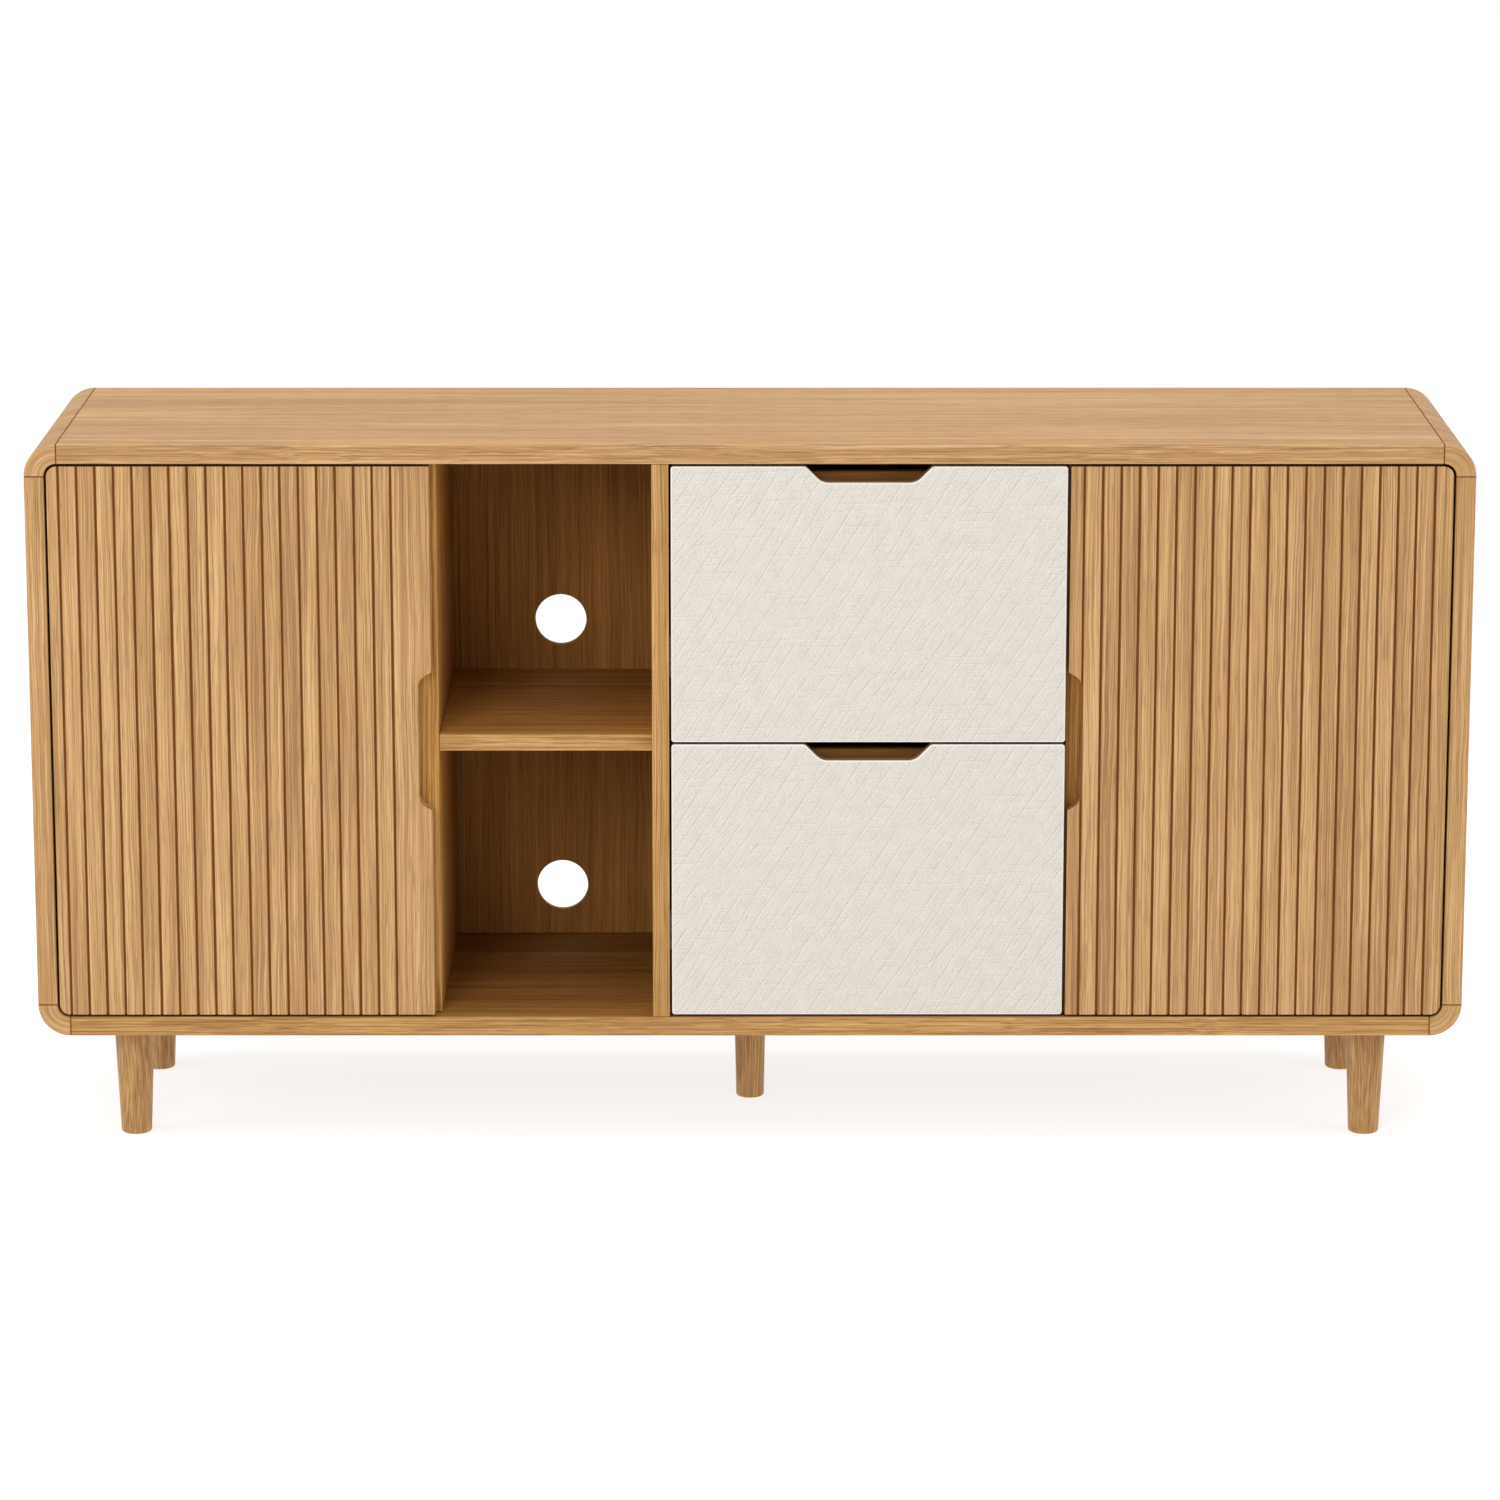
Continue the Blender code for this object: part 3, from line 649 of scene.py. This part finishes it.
def cut(obj, cutter, operation):
    """Applies one exact Boolean and removes the cutter."""
    modifier = obj.modifiers.new("cut", "BOOLEAN")
    modifier.operation = operation
    modifier.solver = "EXACT"
    modifier.object = cutter
    graph = bpy.context.evaluated_depsgraph_get()
    mesh = bpy.data.meshes.new_from_object(obj.evaluated_get(graph))
    obj.modifiers.clear()
    obj.data = mesh
    bpy.data.objects.remove(cutter, do_unlink=True)


print("outline helpers ready")

# %% [markdown]
# ## Fluted doors
# Each leaf is a 20 mm slab. A router cuts narrow grooves from top to bottom, so that it reads as a row of
# slats. A normal map could fake the grooves, but they have to catch real shadow, and they must show at the
# door's top edge too. So the plan of the door, grooves and all, is drawn once and pulled up into a solid,
# and a second solid with the door's rounded outline and finger notch is intersected with it.

# %% The grooves, from above
FLUTES = {"left_door": (0.0129, 19), "right_door": (0.0201, 20)}  # first groove from the hinge edge, count
FLUTE_PITCH = 0.02034
FLUTE_HALF, FLUTE_DEPTH, FLUTE_FLOOR_R = 0.0012, 0.0032, 0.0006
SLAT_R = 0.0019  # rounded edges of the slats
PAST = 0.01  # how far a cutter reaches past the wood


def fluted_plan(width, first, count, face, back):
    """The door from above, as (distance from the hinge edge, y)."""
    points = [(-PAST, back), (-PAST, face)]
    slat_y, floor_y = face + SLAT_R, face + FLUTE_DEPTH - FLUTE_FLOOR_R
    for k in range(count):
        middle = first + FLUTE_PITCH * k
        left, right = middle - FLUTE_HALF, middle + FLUTE_HALF
        points += arc((left - SLAT_R, slat_y), SLAT_R, -90, 0, 4)
        points += arc((left + FLUTE_FLOOR_R, floor_y), FLUTE_FLOOR_R, 180, 90, 4)
        points += arc((right - FLUTE_FLOOR_R, floor_y), FLUTE_FLOOR_R, 90, 0, 4)
        points += arc((right + SLAT_R, slat_y), SLAT_R, 180, 270, 4)
    return points + [(width + PAST, face), (width + PAST, back)]


print("each groove is", round(FLUTE_HALF * 2000, 1), "mm wide")

# %% The leaf, from the front
DOOR_GAP = 0.0027  # between the door and the frame
HINGE_CORNER_R = corner_r - board_thick - DOOR_GAP
FREE_CORNER_R = 0.0015
DOOR_EDGE_R = 0.0009
DOOR_GRIP = {"width": 0.157, "flat": 0.122, "depth": 0.0147, "slope": 60}
GRIP_Z = 0.465


def door_outline(width, low_z, high_z):
    """The door from the front, as (distance from the hinge edge, z)."""
    radii = (HINGE_CORNER_R, FREE_CORNER_R, FREE_CORNER_R, HINGE_CORNER_R)
    lower_hinge, lower_free, upper_free, upper_hinge = rounded(0.0, low_z, width, high_z, radii)
    grip = [(width - d, GRIP_Z + along) for along, d in notch(**DOOR_GRIP)]
    return lower_hinge + lower_free + grip + upper_free + upper_hinge


def eased_shape(outline, place, face, back, radius):
    """A panel with this outline and rounded front and rear edges, reaching past both for a clean cut."""
    stations = [(face - PAST, radius)]
    stations += [(face + depth, inset) for depth, inset in quarter_round(radius, 4)]
    stations += [(back - y + face, inset) for y, inset in reversed(stations)]
    return loft([[place(u, y, v) for u, v in drawn_in(outline, inset)] for y, inset in stations])


print("hinge corners turn at", round(HINGE_CORNER_R * 1000, 1), "mm")

# %% [markdown]
# ## Oak in slats
# On the real doors each slat has its own tone, as if it came from another board, so every slat draws its
# own place in the log by its number. Dark wax stays in the grooves, with painted shade added there, and
# the edges that face the frame have soaked up some oil and are darkened further by a painted shade of the
# gap, so that both read as drawn lines. Both masks come from where the point lies on the door, so they turn
# with it when it opens.

# %% Wax, oiled edges and painted shade
WAX_TOP = 0.0008  # how deep in the groove the wax and painted shade start
BEHIND_WAX = (0.0033, 0.0036)  # just behind the grooves they have ended
EDGE_SOAK_AND_SHADE = (0.0003, 0.0008)  # how far in from the door's edge the oil and the painted shade reach
EDGE_FRONT = (0.0010, 0.0020)  # the rounded front corner stays clean
# painted shade of the gap round the door, over some real darkening where the edges soaked up oil
EDGE_OIL_AND_SHADE_TINT = (0.38, 0.32, 0.26)
SLAT_DRAWS = (37.5, 11.25)  # keep the two doors' draws apart
SLAT_SPREAD = (0.9, 0.4, 5)  # how far apart in the log, along x, y and z, slats may come from
SLAT_TONES, SLAT_LIFT = 0.20, 0.04  # how much their tones differ, and how much lighter all of them are


def door_edge_oil_and_shade(bench, from_hinge, z, low_z, high_z, y):
    """1 on the edges that face the frame, behind the rounded front corner, and 0 on the face."""
    from_end = bench.maths("MINIMUM", z - low_z, high_z - z)
    across = bench.maths("MAXIMUM", HINGE_CORNER_R - from_hinge, 0.0)
    up = bench.maths("MAXIMUM", HINGE_CORNER_R - from_end, 0.0)
    depth = HINGE_CORNER_R - (across * across + up * up) ** 0.5
    behind_corner = bench.ease(y, front + EDGE_FRONT[0], front + EDGE_FRONT[1])
    return (1 - bench.ease(depth, *EDGE_SOAK_AND_SHADE)) * behind_corner


def groove_wax_and_shade(bench, y):
    """0 on the slats' faces and behind the grooves, rising to 1 on the grooves' floors."""
    # wax and painted shade: the groove darkens from near its top to its floor
    in_groove = bench.ease(y, front + WAX_TOP, front + FLUTE_DEPTH)
    return in_groove * (1 - bench.ease(y, front + BEHIND_WAX[0], front + BEHIND_WAX[1]))


def fluted_oak(node, hinge_x, toward):
    """Oak in slats, each from another part of the tree."""
    first, count = FLUTES[node]
    bench = Bench(f"{node}_oak")
    x, y, z = bench.place()
    from_hinge = (x - hinge_x) * toward
    slat = bench.maths("FLOOR", (from_hinge - first) / FLUTE_PITCH)
    slat = bench.maths("MINIMUM", slat, count - 1)
    draw, other_draw = (bench.chance(slat + toward * apart) for apart in SLAT_DRAWS)
    spread_x, spread_y, spread_z = SLAT_SPREAD
    layers = oak_layers(bench, x + draw * spread_x, y + other_draw * spread_y, z + draw * spread_z)
    layers["tone"] = layers["tone"] + (other_draw - 0.5) * SLAT_TONES + SLAT_LIFT
    low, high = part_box(node)
    # painted shade on the edges in the gap, and wax with painted shade in the grooves
    edge = door_edge_oil_and_shade(bench, from_hinge, z, low.z, high.z, y)
    return oak_surface(bench, layers, wax_and_shade=groove_wax_and_shade(bench, y), tint=bench.mix(edge, PLAIN, EDGE_OIL_AND_SHADE_TINT))


print("slats:", *(count + 1 for first, count in FLUTES.values()))

# %% Cut the two leaves
CUP_BORE_R, CUP_BORE_DEPTH = 0.0175, 0.0108


def ring_about_y(x, z, radius, y, segments=64):
    """A circle in the plane of the door, at depth y."""
    turns = [2 * math.pi * k / segments for k in range(segments)]
    return [(x + radius * math.cos(t), y, z + radius * math.sin(t)) for t in turns]


for node, toward in (("left_door", 1), ("right_door", -1)):
    low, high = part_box(node)
    hinge_x = low.x if toward > 0 else high.x
    width = high.x - low.x
    plan = fluted_plan(width, *FLUTES[node], low.y, high.y)
    over = (low.z - PAST, high.z + PAST)
    leaf = object_from(f"{node}_leaf", loft([[(hinge_x + toward * d, y, z) for d, y in plan] for z in over]))
    shape = eased_shape(
        door_outline(width, low.z, high.z),
        lambda d, y, z: (hinge_x + toward * d, y, z),
        low.y,
        high.y,
        DOOR_EDGE_R,
    )
    cut(leaf, object_from("door_shape", shape), "INTERSECT")
    for level in ("upper", "lower"):
        cup_low, cup_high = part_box(f"{node.removesuffix('_door')}_{level}_hinge_cup")
        middle = (cup_low + cup_high) / 2
        reach = (high.y - CUP_BORE_DEPTH, high.y + PAST)
        bore = [ring_about_y(middle.x, middle.z, CUP_BORE_R, y) for y in reach]
        cut(leaf, object_from("cup_bore", loft(bore)), "DIFFERENCE")
    dress(leaf, fluted_oak(node, hinge_x, toward), node)
    print(node, "leaf:", FLUTES[node][1], "grooves,", len(leaf.data.vertices), "points")

# %% [markdown]
# ## Leatherette
# The drawer fronts are oak boards faced with an embossed leatherette. The roller that embossed it left long
# creases that lean to the right, nearly parallel and about 15 mm apart, a second family at a flatter angle in
# places, and short level folds between them. A cell texture would make tidy scales, so each family is drawn
# from a zigzag wave whose phase wanders with noise, and is broken up by another noise. Each crease has a lit
# side and a shaded side, a millimetre apart; most of its look is relief, and the rest is a painted highlight
# and a painted shade in the colour. The rolled edge gets a painted highlight too.

# %% Creases
CREASE_HALF = 0.0011  # half the width of a crease
SHADE_SHIFT = CREASE_HALF * 1.2  # from the lit side to the shaded one


def creases(bench, place, angle, pitch, wander, gaps):
    """Nearly parallel creases: above 0 on the lit side, below 0 on the shaded one."""
    x, y, z = place
    turn = math.radians(angle)
    along = x * math.cos(turn) + z * math.sin(turn)
    across = x * math.sin(turn) - z * math.cos(turn)
    phase = across / pitch + (bench.noise(across * 14, along * 7, y) - 0.5) * wander
    shifted = phase + SHADE_SHIFT / pitch
    lit = 1 - bench.ease(bench.maths("PINGPONG", phase, 0.5), 0.0, CREASE_HALF / pitch)
    shaded = 1 - bench.ease(bench.maths("PINGPONG", shifted, 0.5), 0.0, CREASE_HALF / pitch)
    whole = bench.noise(across * 70, along * 24, y, detail=1.0)
    return (lit - shaded) * bench.ease(whole, gaps - 0.05, gaps + 0.05)


print("a crease is", round(CREASE_HALF * 2000, 1), "mm wide")

# %% The facing's finish
LEATHER = (0.655, 0.611, 0.550)
LEATHER_LIGHTS = ((0.0, 0.80), (0.5, 1.0), (1.0, 1.15))  # painted shade in the depth of a fold, painted highlight on its crown
LEATHER_TONES = tuple((place, tuple(c * light for c in LEATHER)) for place, light in LEATHER_LIGHTS)
PAINTED_RIM_HIGHLIGHT = (0.88, 0.86, 0.83)  # painted highlight on the rolled edge, where the facing turns away from the front
RIM_HIGHLIGHT_TURN = (0.80, 0.99)  # how squarely it faces the front there
LONG_FOLDS = (57, 0.0150, 1.0, 0.40)  # lean in degrees, spacing in metres, wander, and how much is missing
FLATTER_FOLDS = (46, 0.0130, 1.2, 0.48)
CLOSE_FOLDS = (62, 0.0090, 1.2, 0.53)
LEVEL_FOLDS = (2, 0.0080, 1.4, 0.53)
LEATHER_RELIEF = (0.40, 0.0004)


def leatherette():
    """Creases, pebbles and puffs in one height; creases, pebbles and a faint cloud also go into the colour,
    the creases as painted highlight and painted shade, and the rounded rim gets a painted highlight.
    """
    bench = Bench("embossed_leatherette")
    place = x, y, z = bench.place()
    patches = bench.ease(bench.noise(x * 11, y, z * 11), 0.42, 0.58)
    folds = creases(bench, place, *LONG_FOLDS)
    folds = folds + creases(bench, place, *FLATTER_FOLDS) * patches * 0.8
    folds = folds + creases(bench, place, *CLOSE_FOLDS) * 0.5
    folds = folds + creases(bench, place, *LEVEL_FOLDS) * 0.5
    pebble = bench.noise(x * 380, y * 380, z * 560, detail=3.0) - 0.5
    puffs = bench.noise(x * 170, y * 170, z * 230) - 0.5
    cloud = bench.noise(x * 60, y * 60, z * 60) - 0.5
    # painted highlight and painted shade: the creases' lit and shaded sides go into the colour
    tone = folds * 0.44 + pebble * 1.7 + cloud * 0.5 + 0.5
    colour = bench.node("ValToRGB", {"stops": LEATHER_TONES}, {"Fac": tone})
    facing = bench.node("SeparateXYZ", None, {0: bench.node("TexCoord", out="Normal")}).other("Y")
    # painted highlight: lighter where the facing's normal turns away from the front, round its edge
    rim_highlight = 1 - bench.ease(bench.maths("ABSOLUTE", facing), *RIM_HIGHLIGHT_TURN)
    relief = bench.relief(folds + pebble + puffs * 1.6, *LEATHER_RELIEF)
    inputs = {"Base Color": bench.mix(rim_highlight, colour, PAINTED_RIM_HIGHLIGHT), "Roughness": pebble * 0.3 + 0.52, "Normal": relief}
    return bench.shader(inputs)


leather = leatherette()
print("leatherette:", len(leather.node_tree.nodes), "nodes")

# %% [markdown]
# ## Drawer fronts
# Each front is a thin facing stretched over an oak board, with a finger cut-out in its top edge. Stretched
# leatherette can't turn a sharp edge, so the facing is rounded all round and the board behind it is left
# square. Both come from one outline, the board's being drawn in by the gap that the frame leaves.

# %% Faced boards
FRONT_CORNER_R = 0.0032
FACING_R = 0.0026  # how widely the facing turns over its edge
FINGER_CUT = {"width": 0.146, "flat": 0.089, "depth": 0.0183, "slope": 45, "shoulder": 0.0065}
DRAWERS = ("upper_drawer", "lower_drawer")


def front_outline(low, high):
    """A drawer front's outline, with the finger cut-out in its top edge."""
    radii = (FRONT_CORNER_R,) * 4
    lower_left, lower_right, upper_right, upper_left = rounded(low.x, low.z, high.x, high.z, radii)
    middle = (low.x + high.x) / 2
    cut_out = [(middle - along, high.z - depth) for along, depth in notch(**FINGER_CUT)]
    return lower_left + lower_right + upper_right + cut_out + upper_left


front_board_oak = oak("front_board_oak", "x")
for drawer in DRAWERS:
    cover, board = f"{drawer}_cover", f"{drawer}_front_board"
    low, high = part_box(cover)
    outline = front_outline(low, high)
    turns = quarter_round(FACING_R)
    rings = [[(x, low.y + depth, z) for x, z in drawn_in(outline, inset)] for depth, inset in turns]
    rings.append([(x, high.y, z) for x, z in outline])
    piece(f"{drawer}_facing", loft(rings), leather, cover)
    board_low, board_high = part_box(board)
    inset = board_low.x - low.x
    rings = [[(x, y, z) for x, z in drawn_in(outline, inset)] for y in (board_low.y, board_high.y)]
    piece(f"{drawer}_facing_board", loft(rings), front_board_oak, board)
print("drawer fronts made")

# %% [markdown]
# ## Plywood drawer boxes
# The boxes are plywood, lacquered matt. On the real thing the layers show as stripes along every cut edge,
# and the wide faces show just one of them. Stripes painted on the edges would need a mask; a layer is a
# slice of the board's thickness, so its tone is taken from the distance into the board, and the saw does
# the rest. The box front is solid oak, darkened to half the inside's tone as painted shade, because it is
# seen only in the shade of the finger cut-out.

# %% Plywood
PLY_STEPS = 6  # the two outer layers are half as thick as the others
CROSS_LAYER = (0.60, 0.54, 0.48)


def plywood(name, grain, thick_axis, low, high):
    """Oak plywood: every second layer is end grain, which is darker."""
    bench = Bench(name)
    place = dict(zip("xyz", bench.place()))
    u, v = (place[axis] for axis in "xyz" if axis != grain)
    start, end = low["xyz".index(thick_axis)], high["xyz".index(thick_axis)]
    layer = bench.maths("FLOOR", (place[thick_axis] - start) / ((end - start) / PLY_STEPS) + 0.5)
    odd = bench.maths("MODULO", layer, 2.0)
    tint = bench.mix(odd, PLAIN, CROSS_LAYER)
    return oak_surface(bench, oak_layers(bench, u, v, place[grain]), sheen=MATT, tint=tint)


print("plywood layers:", PLY_STEPS + 1)

# %% Drawer boxes
BOX_EDGE_R = 0.0005
BOX_PARTS = {"left_side": ("y", "x"), "right_side": ("y", "x"), "back": ("x", "y"), "bottom": ("x", "z")}
# painted shade: the box front's oak is halved in tone, for the shade in the finger cut-out
shaded_box_front_oak = oak("drawer_box_front_oak", "x", through(INNER_SHADE_TONES, (0.5, 0.5, 0.5)), MATT)
for drawer in DRAWERS:
    for part, (grain, thick_axis) in BOX_PARTS.items():
        node = f"{drawer}_{part}"
        finish = plywood(f"{node}_plywood", grain, thick_axis, *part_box(node))
        planed_board(node, finish, BOX_EDGE_R)
    planed_board(f"{drawer}_box_front", shaded_box_front_oak)
print("drawer boxes made")

# %% [markdown]
# ## Turned legs
# Each leg is turned on a lathe: a straight taper with a small round at the foot, and a bolt at the top that
# screws up into the bottom board. A lathe works from a profile, and so does this: rings of points, one for
# each change of radius. The centre leg is a little more slender at the foot than the four at the corners.

# %% Legs
CORNER_FOOT_R, CENTRE_FOOT_R = 0.0172, 0.0160
FOOT_ROUND = 0.003
BOLT_R = 0.004
LEG_GAP = 0.0003  # between the leg's shoulder and the board
LEG_SHADE_TINT = (0.86, 0.82, 0.68)  # painted shade: the legs a little deeper than the frame's oak, for the shade under the case
LEG_SEGMENTS = 96

leg_oak = oak("leg_oak", "z", through(FRAME_TONES, LEG_SHADE_TINT))
turns = [2 * math.pi * k / LEG_SEGMENTS for k in range(LEG_SEGMENTS)]
legs = sorted(n for n in frame["nodes"] if n.endswith("_leg"))
for node in legs:
    low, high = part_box(node)
    centre = (low + high) / 2
    foot_r = CENTRE_FOOT_R if node == "centre_leg" else CORNER_FOOT_R
    shoulder_r, shoulder_z = (high.x - low.x) / 2, ring_low - LEG_GAP
    profile = [(foot_r - inset, z) for z, inset in quarter_round(FOOT_ROUND)]
    profile += [(shoulder_r, shoulder_z), (BOLT_R, shoulder_z), (BOLT_R, high.z)]
    rings = [[(centre.x + r * math.cos(t), centre.y + r * math.sin(t), z) for t in turns] for r, z in profile]
    piece(f"{node}_turning", loft(rings), leg_oak, node)
print("legs turned:", len(legs))

# %% [markdown]
# ## Hinges and slides
# The hinge cups and arms are nickel-plated, and the slides are zinc-plated steel rails. Their shapes are
# already right in the frame, so they stay, and get a metal finish with fine lines along the way that they
# were drawn or rolled. Pressed metal has no razor edges, so a small bevel modifier rounds them for the eye,
# after a weld that joins the frame's loose triangles.

# %% Plated metal
LINES_ALONG, LINES_ACROSS = 40, 1200  # changes per metre of the fine lines
METAL_RELIEF = (0.15, 0.0001)


def brushed(name, colour, roughness, along="y"):
    """Metal with fine lines along one axis, and faint smudges."""
    bench = Bench(name)
    x, y, z = bench.place()
    scale = [LINES_ALONG if axis == along else LINES_ACROSS for axis in "xyz"]
    lines = bench.noise(x * scale[0], y * scale[1], z * scale[2]) - 0.5
    smudge = bench.noise(x * 60, y * 60, z * 60) - 0.5
    tint = bench.mix(smudge + 0.5, colour, tuple(c * 0.86 for c in colour))
    roughness = lines * 0.2 + smudge * 0.15 + roughness
    relief = bench.relief(lines, *METAL_RELIEF)
    return bench.shader({"Base Color": tint, "Metallic": 1.0, "Roughness": roughness, "Normal": relief})


ROLLED_EDGE = 0.0003
WELD_GAP = 1e-5
zinc = brushed("zinc_plated_steel", (0.62, 0.63, 0.65), 0.36)
nickel = brushed("nickel_plate", (0.66, 0.64, 0.60), 0.26, "z")
metal = [name for name in frame["nodes"] if name.endswith("_rail") or "_hinge_" in name]
for name in metal:
    obj = frame["nodes"][name]
    obj.data.materials[0] = zinc if name.endswith("_rail") else nickel
    obj.modifiers.new("weld", "WELD").merge_threshold = WELD_GAP
    bevel = obj.modifiers.new("rolled edges", "BEVEL")
    bevel.width, bevel.segments, bevel.limit_method = ROLLED_EDGE, 2, "ANGLE"
print("metal pieces dressed:", len(metal))

# %% [markdown]
# ## The floor
# The cabinet stands in a bright studio whose floor runs into its walls without an edge. A white floor lit
# only by lamps would need so much light that the oak burnt out, so this one gives some light of its own, and
# is only a little grey below that, which leaves a soft shadow under the case.

# %% Floor
FLOOR_GREY = 0.36
FLOOR_GLOW = 0.78
FLOOR_SIZE = 30.0


def floor_finish():
    """Pale, dull and glowing a little, with a faint cloud in its roughness."""
    bench = Bench("pale_floor")
    x, y, z = bench.place()
    cloud = bench.noise(x * 0.6, y * 0.6, 0.0) - 0.5
    inputs = {
        "Base Color": (FLOOR_GREY, FLOOR_GREY, FLOOR_GREY, 1),
        "Roughness": 0.9 + cloud * 0.05,
        "Specular IOR Level": 0.0,
        "Emission Color": (1, 1, 1, 1),
        "Emission Strength": FLOOR_GLOW,
    }
    return bench.shader(inputs)


bm = bmesh.new()
bmesh.ops.create_grid(bm, x_segments=4, y_segments=4, size=FLOOR_SIZE)
floor_mesh = bpy.data.meshes.new("floor")
bm.to_mesh(floor_mesh)
bm.free()
floor = bpy.data.objects.new("floor", floor_mesh)
floor.data.materials.append(floor_finish())
bpy.context.scene.collection.objects.link(floor)
print("floor laid")

# %% [markdown]
# ## Light
# Four soft boxes stand in a white room. The key is in front, a little to the left and low, so that it
# reaches into the open bay and lights its back more to the right. The overhead box lifts the top, and the
# two at the sides brighten the door edges. The room itself fills the shadows. Bare sun or point lamps would
# draw hard lines down every groove.

# %% Soft boxes
ROOM_LIGHT = 0.62
SOFT_BOXES = {  # place and aim in metres, width, height, and watts
    "key": ((-1.4, -4.2, 2.2), (0, 0, 0.45), 1.5, 1.5, 50),
    "overhead": ((0, 0.1, 2.7), (0, 0, 0.8), 3.2, 1.4, 32),
    "left_side": ((-2.8, -0.9, 1.5), (-0.8, 0, 0.5), 1.2, 1.2, 18),
    "right_side": ((2.8, -0.9, 1.5), (0.8, 0, 0.5), 1.2, 1.2, 14),
}


def soft_box(name, place, aim, width, height, power):
    """A rectangular lamp that faces its aim and isn't seen by the camera."""
    light = bpy.data.lights.new(name, "AREA")
    light.shape = "RECTANGLE"
    light.size, light.size_y = width, height
    light.energy = power
    obj = bpy.data.objects.new(name, light)
    obj.location = place
    obj.rotation_mode = "QUATERNION"
    obj.rotation_quaternion = (Vector(aim) - Vector(place)).to_track_quat("-Z", "Y")
    obj.visible_camera = False
    bpy.context.scene.collection.objects.link(obj)


scene = bpy.context.scene
world = bpy.data.worlds.new("studio")
world.use_nodes = True
room = world.node_tree.nodes["Background"]
room.inputs["Color"].default_value = (1, 1, 1, 1)
room.inputs["Strength"].default_value = ROOM_LIGHT
scene.world = world
scene.view_settings.view_transform = "Standard"
for name, settings in SOFT_BOXES.items():
    soft_box(name, *settings)
print("soft boxes:", ", ".join(SOFT_BOXES))

# %% [markdown]
# ## Camera
# A long lens from over six metres keeps the uprights nearly parallel, as in furniture catalogues. It stands
# well above the top and looks down at it, so that the top shows as a narrow strip.

# %% Camera
CAMERA_PLACE = (0.0, -6.44, 1.854)
LOOK_DOWN = 12.63  # degrees
SENSOR, LENS = 36.0, 137.95  # millimetres
camera = bpy.data.objects.new("camera", bpy.data.cameras.new("camera"))
camera.location = CAMERA_PLACE
camera.rotation_euler = (math.radians(90 - LOOK_DOWN), 0.0, 0.0)
camera.data.sensor_width, camera.data.lens = SENSOR, LENS
scene.collection.objects.link(camera)
scene.camera = camera
print("camera:", CAMERA_PLACE)
